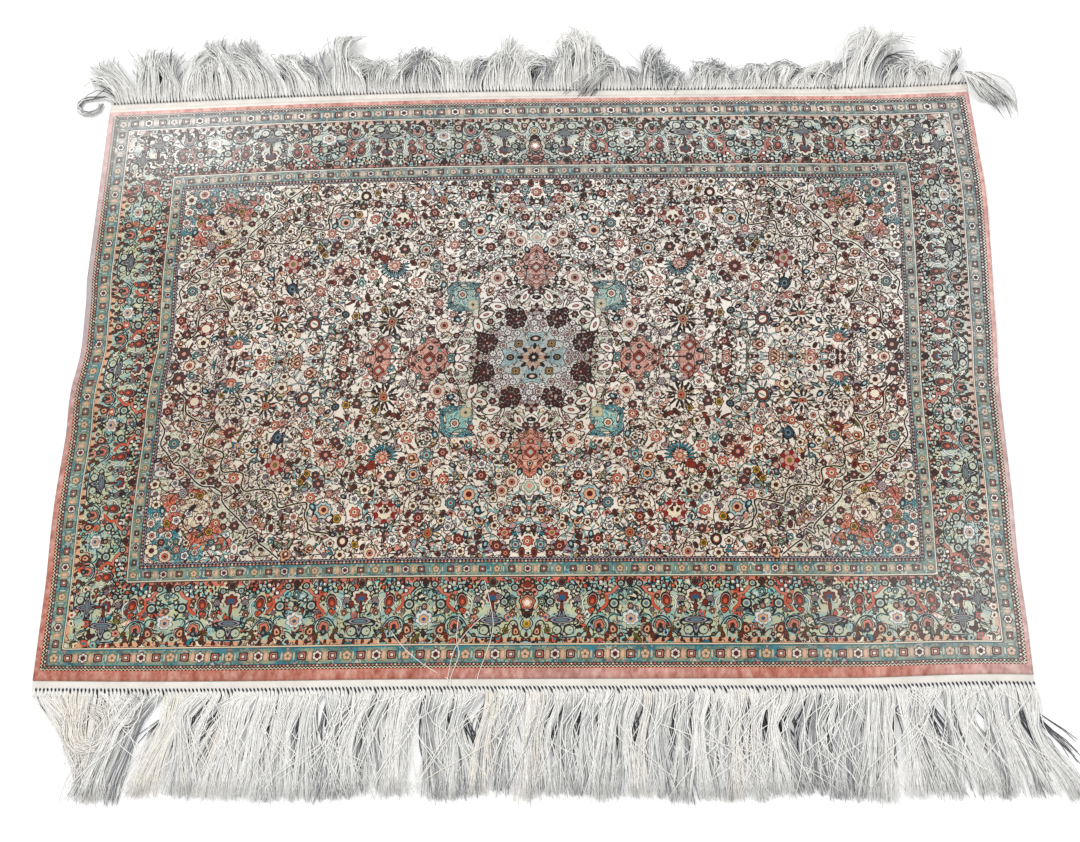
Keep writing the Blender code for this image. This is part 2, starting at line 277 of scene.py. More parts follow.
MAIN_MOTIFS = each(  # kind; x, y, size, turn of each
    ("ring_ground", (0, 0, 76)), ("star_ground", (0, 0, 40)), ("centre", (0, 0, 14.5)),
    ("oval_olive", (31, 0, 5.5)), ("oval_red", (0, 27, 7.5)), ("gold_eye", (22, 19.5, 6.5, 45)),
    ("drop", (20, 0, 4.5, 180), (0, 18, 4.5, -90), (14, 12, 4.5, 225)),
    ("cluster", (64, 21, 8.5, 20), (27, 55, 8.5, 70), (76, 0, 10), (0, 69, 10, 90)),
    ("berry", (56, 38, 6), (43, 50, 6), (74, 33, 4.6), (38, 68, 4.6)), ("rosette_red", (62, 52, 5.2)),
    ("patch_wine", (64, 21, 15, 20), (27, 55, 15, 70)),
    ("patch_green", (92, 20, 15, 90), (72, 56, 19, 45), (22, 86, 15)),
    ("frond", (78, 46, 6.6, 160), (52, 74, 6.6, 100), (96, 13, 6, 60), (16, 88, 6, 30), (68, 62, 5.8, 70)),
    ("leaf_olive", (94, 52, 7, -60), (66, 84, 7, -30), (112, 18, 6.5, 30), (24, 104, 6.5, 60),
     (122, 30, 5.5, -30), (66, 112, 5.5, 120)),
    ("rosette", (45, 86, 5.5), (34, 94, 5, 20), (30, 80, 5, 10), (92, 33, 5.5)),
    ("rosette_red", (106, 32, 5), (36, 108, 4.6)), ("rosette_coral", (78, 98, 4.6)),
    ("lozenge", (139, 2, 26, 45), (0, 132, 26, 45)), ("gem", (139, 2, 6.5, 45), (0, 132, 6.5, 45)),
    ("leaf_rust", (150, 13, 5, 135), (12, 144, 5, 135)), ("leaf_green", (127, 12, 4.6, 45), (11, 121, 4.6, 45)),
    ("rosette_line", (153, 2, 4.4)), ("rosette_wine", (125, 2, 4.4)), ("rosette_line", (0, 147, 4.4)),
    ("rosette_coral", (0, 117, 4.4)), ("rosette_green", (139, 15, 4), (14, 132, 4)),
    ("cart_pink", (205, 0, 33, 90)), ("gem", (205, 16.5, 6.5, 45)), ("rosette_wine", (205, 0, 6)),
    ("leaf_rust", (205, 29, 4.5, 90)), ("cart_teal", (98, 89, 26, 45)), ("star_pink", (100, 92, 6.4, 20)),
    ("leaf_cream", (109, 97, 4.4, 20), (92, 102, 4.4, 130), (106, 80, 4.4, -50)),
    ("leaf_green", (99, 80, 4, 60)), ("tan_block", (86, 77, 8.5, 45)),
    ("leaf_cream", (113, 86, 8, 100), (98, 106, 8), (84, 93, 6, 120)),
    ("leaf_green", (103, 76, 6.5, 20), (90, 103, 6, 60), (110, 98, 6.5, 140)),
    ("leaf_teal", (118, 76, 7, 110), (80, 108, 7)), ("peony", (124, 47, 11.5), (52, 116, 11.5)),
    ("spiky", (195, 54, 8.5, 95)), ("fan_teal", (192, 137, 10)), ("base_red", (204, 147, 8, 33)),
    ("lotus_red", (184, 210, 15, 90)), ("bud_teal", (181, 226, 4.5, 90)), ("chip_rust", (180, 207, 3.6, 60)),
    ("chip_red", (189, 208, 3.4, 120)), ("chip_rust", (184, 203, 3, -90)), ("fan_gold", (77, 187, 13, 80)),
    ("disc_red", (300, 53, 11.5, 60)), ("leaf_green", (300, 54, 4.6, 30)), ("leaf_rust", (309, 46, 5, 40)),
    ("disc_coral", (266, 132, 8.5, 15)), ("disc_wine", (331, 144, 13.5)), ("disc_blue", (331, 106, 8.5, 80)),
    ("leaf_dark", (331, 118, 5, 80)), ("leaf_aqua", (243, 90, 8.5, 35)), ("leaf_rust", (252, 83, 8, -25)),
    ("bell_blue", (255, 94, 5.5, 60)), ("rosette_coral", (293, 102, 8), (337, 89, 7, 20), (364, 3, 9)),
    ("bell", (314, 3, 8.5)), ("rosette_wine", (230, 62, 7.5)), ("rosette_pink", (254, 3, 7.5)),
    ("rosette_pale", (227, 17, 6)), ("leaf_slate", (370, 40, 9, 30)), ("leaf_pink", (378, 33, 9, 40)),
    ("bell_blue", (237, 111, 8, 100)), ("leaf_olive", (380, 104, 9, 60), (388, 97, 9, 20)),
    ("bud_dark", (185, 31, 6, 30)), ("rosette_grey", (170, 35, 6.5)), ("rosette_line", (215, 89, 7)),
    ("rosette_gold", (206, 72, 5.5)), ("leaf_slate", (322, 104, 6.5, 140)), ("fan_gold", (262, 205, 11, 40)),
    ("spiky", (352, 62, 7.5, 20)), ("disc_coral", (395, 98, 7.5)), ("fan_teal", (400, 28, 8, 180)),
    ("lotus_red", (446, 52, 10)), ("disc_blue", (258, 66, 6, 30)), ("fan_gold", (150, 160, 9, 70)),
    ("spiky", (128, 238, 7.5, 60)), ("disc_wine", (30, 238, 9, 90)), ("lotus_cream", (0, 176, 12, 90)),
    ("disc_red", (236, 246, 8, 90)),
)
SPRAYS = [  # kind, x, y, how many, distance from the middle, size, middle of the spread, spread
    ("leaf_cream", 0, 0, 8, 31, 6.5, 0, 360), ("berry", 64, 21, 7, 10.5, 4.6, 20, 360),
    ("berry", 27, 55, 7, 10.5, 4.6, 70, 360), ("leaf_teal", 192, 137, 13, 14.5, 6.6, -90, 215),
    ("leaf_black", 195, 54, 13, 13.5, 6.6, 0, 360), ("leaf_slate", 300, 53, 10, 15, 5.6, 20, 360),
    ("leaf_salmon", 266, 132, 14, 12.5, 5.2, 0, 360), ("leaf_black", 352, 62, 11, 11.5, 5.6, 0, 360),
    ("leaf_salmon", 395, 98, 12, 10.5, 4.6, 0, 360), ("leaf_teal", 400, 28, 11, 11, 5.4, 90, 200),
    ("leaf_slate", 128, 238, 11, 11.5, 5.6, 0, 360), ("leaf_rust", 77, 187, 9, 15.5, 4.8, 80, 240),
]
SPANDREL_EDGE = [
    (318, 266), (335, 252), (344, 245), (347, 233), (361, 241), (358, 230), (375, 211), (388, 199), (395, 189),
    (396, 180), (409, 171), (421, 170), (432, 163), (444, 150), (453, 141), (463, 138), (473, 124), (484, 110),
    (481, 92), (487, 80),
]
CLOUD_BANDS = [
    [(256, 236), (279, 232), (282, 222), (287, 212), (285, 196), (302, 197), (321, 201), (324, 189), (332, 178),
     (351, 176), (366, 178), (372, 170), (371, 155), (384, 151), (398, 151), (402, 140), (400, 126), (414, 119),
     (428, 112), (426, 96), (418, 80), (432, 82), (446, 75), (456, 66), (458, 48), (470, 36)],
    [(347, 233), (353, 226), (361, 228), (364, 236)],
    [(395, 189), (386, 184), (378, 178), (384, 171)],
    [(463, 138), (456, 130), (462, 122), (470, 126)],
]
SPANDREL_MOTIFS = each(
    ("patch_green", (392, 206, 17, 40), (420, 160, 16, 30), (446, 128, 17, 45), (466, 104, 14, 80),
     (366, 232, 13), (474, 168, 12, 80), (404, 176, 12, 40), (340, 256, 14)),
    ("patch_teal", (470, 252, 18), (446, 257, 16, 10), (424, 259, 12), (476, 226, 15, 90),
     (458, 238, 14, 45), (479, 200, 13, 80)),
    ("patch_coral", (424, 240, 17, 20), (404, 230, 15, -20), (456, 214, 15, 60), (460, 190, 14, 80),
     (400, 212, 12, 40), (388, 246, 12)),
    ("patch_cream", (428, 210, 16, 30), (440, 192, 13), (414, 190, 12)), ("patch_coral", (430, 176, 11)),
    ("white_flower", (421, 212, 8)), ("rosette_pale", (436, 205, 6.5)), ("drop", (430, 196, 6, 45)),
    ("rosette_red", (468, 242, 5.5)), ("rosette_pink", (448, 252, 6)), ("rosette_blue", (404, 244, 5.5)),
    ("rosette_pink", (470, 226, 5)), ("rosette", (424, 256, 5.5)), ("rosette_pale", (478, 206, 5)),
    ("rosette_gold", (408, 230, 6)), ("leaf_olive", (420, 234, 7, 30), (440, 232, 7, 120)),
    ("rosette", (456, 198, 6.5)), ("rosette_red", (390, 224, 5)), ("rosette_pink", (470, 184, 5.5)),
    ("rosette_grey", (446, 178, 7)), ("rosette_gold", (424, 182, 5.5)), ("rosette_pale", (458, 164, 6.5)),
    ("calyx", (374, 250, 9, 90), (476, 150, 9)), ("bud_dark", (360, 258, 6)), ("bell", (474, 130, 6, 30)),
)

MEDALLION_RINGS = [  # how many small flowers, radius, their size, offset
    (22, 46, 5.5, 0.5), (27, 55, 5.5, 0), (31, 64, 5.5, 0.5), (37, 73, 5, 0),
]
MEDALLION_CHAIN = [
    (0, 64), (13, 55), (20, 70), (38, 66), (44, 54), (50, 40), (62, 38), (77, 30), (74, 12), (66, 6), (84, 0),
]
SMALL_FLOWERS = [  # size, how many, of which kinds
    (9, 26, "rosette rosette_blue peony rosette_coral bell rosette_line rosette_wine"),
    (7.4, 72, "rosette rosette_line rosette_pale rosette_wine rosette_red rosette_coral bell"),
    (6.1, 110, "rosette rosette_line rosette_line bell_blue rosette_gold rosette_pink rosette_wine"),
    (5, 140, "rosette rosette_line bud rosette_pale rosette_green bud_teal rosette_wine leaf_rust"),
    (4, 200, "leaf leaf_cream bud leaf_olive rosette_grey leaf_rust bud_dark"),
    (3.1, 240, "leaf leaf_cream bud leaf_olive leaf_pink leaf_rust leaf_dark"),
]
MEDALLION_FLATTEN = 0.90  # the medallion's height over its width
TRIES = 7000  # places tried for the small flowers of one size
TENDRILS = 170

dice = random.Random(11)


def lay_field():
    for kind, x, y, size, turn in MAIN_MOTIFS:
        stamp4(kind, x, y, size, turn, rank=-9900 - size if kind in UNDER_KINDS else None)
    for kind, x, y, size, turn in SPANDREL_MOTIFS:
        stamp4(kind, x, y, size, turn, rank=-5000 - x if kind in UNDER_KINDS else None)
    stem4(SPANDREL_EDGE, half=1.0, silk="dark", edge=1.0, edge_silk="ivory")
    for line in CLOUD_BANDS:
        stem4(line, half=1.05, silk="dark", edge=0.8, edge_silk="cream")
    stem4(MEDALLION_CHAIN, half=0.9, silk="dark")
    clusters = [motif[1:4] for motif in MAIN_MOTIFS if motif[0] == "cluster"]
    for count, radius, size, offset in MEDALLION_RINGS:
        for k in range(count):
            angle = 2 * math.pi * (k + offset) / count
            x, y = radius * math.cos(angle), radius * MEDALLION_FLATTEN * math.sin(angle)
            if all(math.hypot(abs(x) - cx, abs(y) - cy) > r + 1 for cx, cy, r in clusters):
                stamp("lace" if k % 3 else "rosette", x, y, size, math.degrees(angle))
    # Room taken: x, y and radius.
    taken = [(x, y, size * 1.12) for kind, x, y, size, turn in MAIN_MOTIFS if kind not in UNDER_KINDS]
    for kind, x, y, count, out, size, middle, spread in SPRAYS:
        if x:
            taken.append((x, y, out + size * 0.8))
        for k in range(count):
            angle = middle - spread / 2 + spread * (k + 0.5) / count
            px, py = x + out * math.cos(math.radians(angle)), y + out * math.sin(math.radians(angle))
            (stamp4 if x else stamp)(kind, px, py, size, angle)
    taken += [(x, y, size) for kind, x, y, size, turn in SPANDREL_MOTIFS if kind not in UNDER_KINDS]
    taken += [(0, 0, 80), (98, 89, 25), (205, 0, 12), (205, 18, 12)]
    for line in [SPANDREL_EDGE] + CLOUD_BANDS:
        taken += [(x, y, 0.9) for x, y in smooth_line(line, 4.0)]

    # Spiralling stems with leaves in pairs.
    spirals = []
    for row in range(6):
        for column in range(9):
            cx = 30 + 56 * column + (28 if row % 2 else 0) + dice.uniform(-9, 9)
            cy = 18 + 48 * row + dice.uniform(-8, 8)
            if math.hypot(cx, cy) >= 90 and cx <= 470 and cy <= 262:
                spirals.append((cx, cy))
    for cx, cy in spirals:
        hand = dice.choice((1, -1))
        start = dice.uniform(0, 360)
        radius = dice.uniform(24, 33)
        line = [p for p in spiral(cx, cy, start, radius, 1.25, hand, 0.3) if p[0] > -4 and p[1] > -4]
        line = [p for p in line if p[0] < 483 and p[1] < 264]
        if len(line) < 6:
            continue
        stem4(line, half=0.66, silk=dice.choice(("brown", "dark", "brown", "mauve")))
        tone = dice.choice(("leaf", "leaf_cream", "leaf_cream", "leaf_aqua", "leaf_pink"))
        path = smooth_line(line, 2.0)
        for k in range(3, len(path) - 2, 4):
            heading = math.degrees(math.atan2(*(path[k + 1] - path[k - 1])[::-1]))
            side = 1 if (k // 4) % 2 else -1
            angle = heading + side * 48
            reach = dice.uniform(4.4, 6.2)
            px = path[k][0] + math.cos(math.radians(angle)) * reach
            py = path[k][1] + math.sin(math.radians(angle)) * reach
            if all(math.hypot(px - x, py - y) > r + 2.0 for x, y, r in taken):
                stamp4(tone, px, py, reach, angle)
                taken.append((px, py, reach * 0.55))

    # Small flowers wherever there is room, the larger ones first.
    for size, count, kinds in SMALL_FLOWERS:
        tries = 0
        while count and tries < TRIES:
            tries += 1
            x, y = dice.uniform(0, 484), dice.uniform(0, 265)
            r = size * dice.uniform(0.88, 1.12)
            if (x < r + 1 and x > 1.5) or (y < r + 1 and y > 1.5):
                continue
            near = [(tx, ty, tr) for tx, ty, tr in taken if abs(x - tx) < r + tr]
            if any(math.hypot(x - tx, y - ty) < (r + tr) * 0.93 for tx, ty, tr in near):
                continue
            kind = dice.choice(kinds.split())
            grown = r * (1.3 if kind.startswith(("leaf", "bud")) else 1.0)
            stamp4(kind, x, y, grown, dice.uniform(0, 360))
            taken.append((x, y, r))
            count -= 1
    # Hooked tendrils in what is left.
    for _ in range(TENDRILS):
        x, y = dice.uniform(6, 478), dice.uniform(6, 260)
        if math.hypot(x, y) < 50:
            continue
        hook = spiral(x, y, dice.uniform(0, 360), dice.uniform(5, 8.5), dice.uniform(0.45, 0.8),
                      dice.choice((1, -1)), 0.35)
        stem4(hook, half=0.62, silk=dice.choice(("dark", "brown", "brown", "mauve")))


# ---------------------------------------------------------------- the borders
def border_place(side, along, share):
    """A point at this place along a side and this share of the border's depth: x, y, heading."""
    if side in ("front", "back"):
        depth = HALF_D - share * (HALF_D - FIELD_D)
        return (along, -depth, 0) if side == "front" else (along, depth, 180)
    depth = HALF_W - share * (HALF_W - FIELD_W)
    return (-depth, along, -90) if side == "left" else (depth, along, 90)


def main_place(side, along, q):
    """The same in the main border, q running from its outer edge (0) to its inner edge (1)."""
    return border_place(side, along, MAIN_OUT + q * (MAIN_IN - MAIN_OUT))


# Along each side, how far from its middle the blossoms stand, and the crosses between them.
LONG_SIDE = {"blossoms": (128, 290, 453), "crosses": (43, 208, 372, 532), "special": True}
SHORT_SIDE = {"blossoms": (80, 238), "crosses": (0, 160, 322), "special": False}
SIDES = {"front": LONG_SIDE, "back": LONG_SIDE, "left": SHORT_SIDE, "right": SHORT_SIDE}
HALF_REPEAT = 82  # mm from a blossom to the next cross; the motifs shrink where it is less
OUTER_STRIP, INNER_STRIP = 0.035, 0.985  # q along the middles of the plain strips
FLOWER_REPEAT = 75  # mm, nearly, of the flower bands' row

# One half of a repeat: p runs from the blossom (0) to the cross (1), q from the outer edge of the
# main border (0) to its inner edge (1); size in mm; turn from the heading, inwards being 90.
REPEAT = each(  # kind; p, q, size, turn of each
    ("blossom", (0, 0.35, 10.5, 90)), ("rosette_pink", (0, 0.55, 4.6)), ("chip_red", (0, 0.15, 3.4, 90)),
    ("bell_blue", (0, 0.76, 6, 90)), ("lilac_ring", (0.14, 0.9, 5)), ("crown", (0, 0.93, 5.4)),
    ("lilac_ring", (0.24, 0.59, 7)), ("net", (0.14, 0.68, 4.6, 20)), ("rosette_grey", (0.33, 0.49, 4)),
    ("leaf_dark", (0.17, 0.46, 5.4, 55)), ("leaf_aqua", (0.1, 0.6, 4.6, 35)),
    ("curl_rust", (0.25, 0.19, 7.6, 70)), ("knop", (0.14, 0.12, 3)), ("chip_rust", (0.34, 0.1, 4.6, 100)),
    ("acanthus", (0.46, 0.25, 9.6, 110)), ("rosette_blue", (0.46, 0.19, 4.2)),
    ("boteh", (0.56, 0.61, 9.2, 104)), ("tongue", (0.58, 0.48, 5.4, 150)), ("bell", (0.75, 0.46, 5.4, 75)),
    ("knop", (0.41, 0.7, 3.8)), ("leaf_cream", (0.7, 0.34, 5.4, 40)), ("leaf", (0.66, 0.4, 4.6, 150)),
    ("rosette_gold", (0.64, 0.2, 4)), ("chip_rust", (0.6, 0.1, 4.4, 80)),
    ("spindle", (1, 0.33, 18, 90), (1, 0.34, 17)), ("bead", (0.87, 0.19, 6.6)), ("palmette", (1, 0.66, 12, 90)),
    ("leaf_rust", (1, 0.545, 9, 90)), ("crown", (1, 0.92, 6.2)), ("lilac_ring", (0.86, 0.84, 4.6)),
    ("rosette_grey", (0.78, 0.66, 5)), ("bud_teal", (0.8, 0.57, 4, 120)), ("net", (0.76, 0.8, 4.4)),
    ("oval_olive", (0.74, 0.12, 3.2)),
)
CLUSTER = [(0.30, 0.93), (0.36, 0.97), (0.43, 0.92), (0.50, 0.97), (0.57, 0.92), (0.64, 0.96), (0.70, 0.91),
           (0.36, 0.86), (0.44, 0.83), (0.52, 0.86), (0.60, 0.82), (0.66, 0.86), (0.30, 0.80)]
REPEAT_STEMS = [  # half width, silk, edge, edge silk, then p, q points
    (0.85, "navy", 0.5, "sky", (1, 0.08), (0.8, 0.09), (0.68, 0.15), (0.62, 0.28), (0.54, 0.38), (0.43, 0.4),
     (0.34, 0.35), (0.31, 0.26), (0.33, 0.18)),
    (0.75, "navy", 0, "navy", (0.96, 0.42), (0.91, 0.375), (0.79, 0.355), (0.745, 0.31), (0.79, 0.27),
     (0.91, 0.275), (0.96, 0.22), (0.98, 0.1)),
    (1, "navy", 0, "navy", (1, 0.4), (1, 0.51)),
    (0.75, "navy", 0.5, "aqua", (0.02, 0.42), (0.14, 0.4), (0.24, 0.43), (0.32, 0.37), (0.27, 0.28),
     (0.12, 0.25)),
    (0.7, "navy", 0, "navy", (0.18, 0.21), (0.07, 0.19), (0, 0.11)),
    (1.7, "salmon", 0.6, "brown", (0.18, 0.86), (0.26, 0.77), (0.35, 0.73), (0.43, 0.72), (0.45, 0.79)),
    (1.5, "coral", 0.6, "brown", (0.35, 0.7), (0.34, 0.59), (0.43, 0.5)),
    (0.7, "white", 0.6, "navy", (0.68, 0.5), (0.7, 0.62), (0.62, 0.71), (0.5, 0.69), (0.45, 0.58)),
    (0.7, "navy", 0, "navy", (0.84, 0.53), (0.81, 0.64), (0.87, 0.74), (0.95, 0.8), (1, 0.81)),
    (0.7, "navy", 0, "navy", (0, 0.86), (0.1, 0.82), (0.18, 0.75), (0.1, 0.68), (0, 0.64)),
    (0.8, "rust", 0.5, "cream", (0.24, 0.08), (0.3, 0.14), (0.26, 0.27), (0.17, 0.27), (0.16, 0.19)),
    (0.6, "brown", 0, "brown", (0.54, 0.14), (0.5, 0.32), (0.42, 0.33), (0.4, 0.24)),
    (0.6, "dark", 0, "dark", (0.84, 0.96), (0.78, 0.88), (0.8, 0.76), (0.9, 0.72)),
    (0.6, "slate", 0, "slate", (0.66, 0.78), (0.74, 0.74), (0.72, 0.6), (0.76, 0.52)),
]


def lay_main_border():
    for side, plan in SIDES.items():
        stations = [(at, "blossom") for at in plan["blossoms"]] + [(at, "cross") for at in plan["crosses"]]
        stations += [(-at, kind) for at, kind in stations if at]
        if plan["special"]:
            stations.append((0, "special"))
        stations.sort()
        for (a, kind_a), (b, kind_b) in zip(stations, stations[1:]):
            if "special" in (kind_a, kind_b):
                lay_special(side, a if kind_b == "special" else b)
            else:
                lay_half(side, *((a, b) if kind_a == "blossom" else (b, a)))


def lay_half(side, start, end):
    """Half a repeat, from the blossom at start to the cross at end."""
    heading_sign = 1 if end > start else -1

    def place(p, q):
        return main_place(side, start + p * (end - start), q)

    squeeze = min(1.0, abs(end - start) / HALF_REPEAT)
    for kind, p, q, size, turn in REPEAT:
        x, y, heading = place(p, q)
        # The places along a side run with its heading in front and at the right, and against it elsewhere.
        forward = 1 if side in ("front", "right") else -1
        local = turn if heading_sign * forward > 0 else 180 - turn
        depth_scale = 1.0 if side in ("front", "back") else 0.9
        stamp(kind, x, y, size * squeeze**0.5 * depth_scale, heading + local)
    for k, (p, q) in enumerate(CLUSTER):
        x, y, heading = place(p, q)
        stamp(("dot_sky", "dot_rust", "dot", "dot_aqua", "dot_sky")[k % 5], x, y, 3.4, rank=-6)
        x, y, heading = place(p + 0.035, q - 0.030)
        stamp("drop", x, y, 2.5, heading + 90, rank=-1)
    for half, silk, edge, edge_silk, *points in REPEAT_STEMS:
        stem([place(p, q)[:2] for p, q in points], half=half, silk=silk, edge=edge, edge_silk=edge_silk)
    for k in range(7):  # small chips along the outer peach strip and the inner salmon one
        x, y, heading = place((k + 0.5) / 7, OUTER_STRIP)
        stamp("chip_red" if k % 2 else "chip_rust", x, y, 3.0, heading + 90)
        x, y, heading = place((k + 0.5) / 7, INNER_STRIP)
        stamp("rosette_pink" if k % 2 else "chip_rust", x, y, 2.6, heading - 90)


SPECIAL = each(  # the middle of a long side: kind; place along, q, size, turn of each
    ("half_disc", (0, 0.87, 8.6, 90)), ("lily", (0, 0.6, 10, 90)), ("bulb", (0, 0.28, 8.6, 90)),
    ("crown", (0, 0.42, 4.6)), ("chip_red", (0, 0.11, 3.2, 90)), ("knop", (0.14, 0.93, 3.2)),
    ("bell", (0.42, 0.42, 5.6, 100)), ("rosette_green", (0.42, 0.62, 5.4)),
    ("leaf_cream", (0.45, 0.25, 5.2, 60)), ("rosette_gold", (0.6, 0.18, 4.4)),
    ("lilac_ring", (0.36, 0.84, 5.4)), ("rosette_red", (0.52, 0.93, 3.6)), ("bud_dark", (0.62, 0.78, 3.6, 30)),
    ("lilac_ring", (0.66, 0.62, 5.6)), ("leaf_olive", (0.74, 0.14, 4.4, 20)), ("net", (0.74, 0.9, 4.6)),
    ("bead", (0.84, 0.19, 6.2)), ("curl_rust", (0.3, 0.16, 6.6, 80)), ("rosette_grey", (0.84, 0.7, 4.6)),
)
SPECIAL_STEMS = [
    [(1.0, 0.08), (0.80, 0.09), (0.62, 0.16), (0.52, 0.28), (0.42, 0.34), (0.28, 0.30), (0.20, 0.14),
     (0.0, 0.05)],
    [(0.96, 0.42), (0.91, 0.375), (0.78, 0.355), (0.73, 0.31), (0.78, 0.27), (0.91, 0.275), (0.97, 0.14)],
    [(0.0, 0.76), (0.16, 0.76), (0.20, 0.62), (0.14, 0.50), (0.0, 0.46)],
    [(0.60, 0.50), (0.66, 0.72), (0.52, 0.76), (0.50, 0.60)],
]


def lay_special(side, cross):
    """The middle of a long side: a tall peach vase form instead of a blossom, and its two flanks."""
    for kind, at, q, size, turn in SPECIAL:
        x, y, heading = main_place(side, at * cross, q)
        mirrored = (cross > 0) == (side in ("front", "right"))
        stamp(kind, x, y, size, heading + (turn if mirrored else 180 - turn))
    for points in SPECIAL_STEMS:
        stem([main_place(side, p * cross, q)[:2] for p, q in points], half=0.8, silk="navy")
    for k in range(5):
        x, y, heading = main_place(side, cross * (k + 0.5) / 5, OUTER_STRIP)
        stamp("chip_rust" if k % 2 else "chip_red", x, y, 3.0, heading + 90)


GUARD_ROW = [  # kind, place along the repeat, size, turn from the heading
    ("gold_flower", 0, 0.84, 90), ("arc", 0.105, 0.95, 90), ("block", 0.235, 0.72, 0), ("plot", 0.36, 0.7, 0),
    ("oval_peach", 0.375, 0.84, 90), ("white_flower", 0.5, 0.92, 90), ("oval_peach", 0.625, 0.84, 90),
    ("plot", 0.64, 0.7, 0), ("block", 0.765, 0.72, 180), ("arc", 0.895, 0.95, 90),
]


def lay_flower_bands():
    for low, high in FLOWER_BANDS:
        middle = (low + high) / 2
        for side in SIDES:
            long_side = side in ("front", "back")
            depth, across = HALF_D - FIELD_D, HALF_W - FIELD_W
            half = HALF_W - middle * across if long_side else HALF_D - middle * depth
            depth = depth if long_side else across
            count = round(2 * half / FLOWER_REPEAT)
            repeat = 2 * half / count
            size = (high - low) * depth / 2 * 0.84
            for k in range(count + 1):
                for kind, at, scale, turn in GUARD_ROW:
                    along = -half + (k + at) * repeat
                    if abs(along) < half - 1 or (kind == "gold_flower" and long_side and abs(along) < half + 1):
                        x, y, heading = border_place(side, along, middle)
                        stamp(kind, x, y, size * scale, heading + turn)


lay_field()
lay_main_border()
lay_flower_bands()

# ---------------------------------------------------------------- the pile's mesh
COLUMNS, ROWS = 366, 246
STEP_X, STEP_Y = 2 * HALF_W / COLUMNS, 2 * HALF_D / ROWS  # a face, in mm of the pattern
FINE_PILE = 0.0004  # how unevenly the clipped pile stands
UNDER_COLUMNS, UNDER_ROWS = 32, 24  # the plain underside


def bump_of(distance):
    """A smooth hump: 1 at a distance of 0, and 0 from 1 on."""
    return np.where(np.abs(distance) < 1, (1 - np.minimum(1, distance * distance)) ** 2, 0.0)


def bulge(side, at):
    """How far a side of the sheet stands out at a place along it."""
    return sum(r["out"] * bump_of((at - r["at"]) / r["spread"]) for r in SIDE_BULGES if r["side"] == side)


def ripple_height(x, y):
    """How far the sheet is lifted off the floor."""
    total = np.zeros_like(x)
    for row in RIPPLES:
        turn = math.radians(row["turn"])
        dx, dy = x - row["x"], y - row["y"]
        along = dx * math.cos(turn) + dy * math.sin(turn)
        across = dy * math.cos(turn) - dx * math.sin(turn)
        total += row["height"] * bump_of(along / row["length"]) * bump_of(across / row["width"])
    return total


def sheet_place(u, v):
    """The plan place at a share of the sheet's width and depth."""
    flat_x, flat_y = (u - 0.5) * SHEET_WIDTH, (v - 0.5) * SHEET_DEPTH
    x = flat_x + bulge("right", flat_y) * u - bulge("left", flat_y) * (1 - u)
    y = flat_y + bulge("back", flat_x) * v - bulge("front", flat_x) * (1 - v)
    return x, y


def design_place(u, v):
    """The pattern's own millimetres at a share of the sheet."""
    x, y = (u - 0.5) * 2 * HALF_W, (v - 0.5) * 2 * HALF_D
    fade = (1 - (x / HALF_W) ** 4) * (1 - (y / HALF_D) ** 4)
    return x - SHIFT_X * fade, y - SHIFT_Y * fade


def outline_radius(angle, petals, lobe, lean):
    """How far a motif reaches in a direction, as its nodes draw it."""
    wave = np.abs(np.cos(petals * angle / 2))
    return np.maximum(0.05, (1 - lobe * (1 - wave)) * (1 + lean * np.cos(angle)))


def table_of_stamps():
    """The stamps as arrays, one for each column."""
    names = """x y cos sin flip length width petals lobe lean line ring heart
        line_silk petal_silk ring_silk heart_silk rank under""".split()
    rows = []
    for x, y, turn, flip, length, width, kind, rank in stamps:
        petals, lobe, lean, _, ring, heart, silks = KINDS[kind]
        line = min(0.45, LINE_MM / math.sqrt(length * width))
        shape = (petals, lobe, lean, line, ring, heart, *map(SILK_NAMES.index, silks.split()))
        place = (x, y, math.cos(turn), math.sin(turn), flip, length, width)
        rows.append((*place, *shape, rank, kind in UNDER_KINDS))
    return dict(zip(names, np.array(rows, float).T))


def local_of(table, ids, x, y):
    """Coordinates inside the stamps ids, for points x, y of any matching shape."""
    dx, dy = x - table["x"][ids], y - table["y"][ids]
    along = (dx * table["cos"][ids] + dy * table["sin"][ids]) / table["length"][ids]
    across = (dy * table["cos"][ids] - dx * table["sin"][ids]) * table["flip"][ids] / table["width"][ids]
    return along, across


def window_of(low_x, high_x, low_y, high_y):
    """The first and last columns and rows of faces that a box of the pattern can touch."""
    i0, i1 = max(0, int((low_x + HALF_W) / STEP_X)), min(COLUMNS, int((high_x + SHIFT_X + HALF_W) / STEP_X) + 1)
    j0, j1 = max(0, int((low_y + HALF_D) / STEP_Y)), min(ROWS, int((high_y + SHIFT_Y + HALF_D) / STEP_Y) + 1)
    return i0, i1, j0, j1


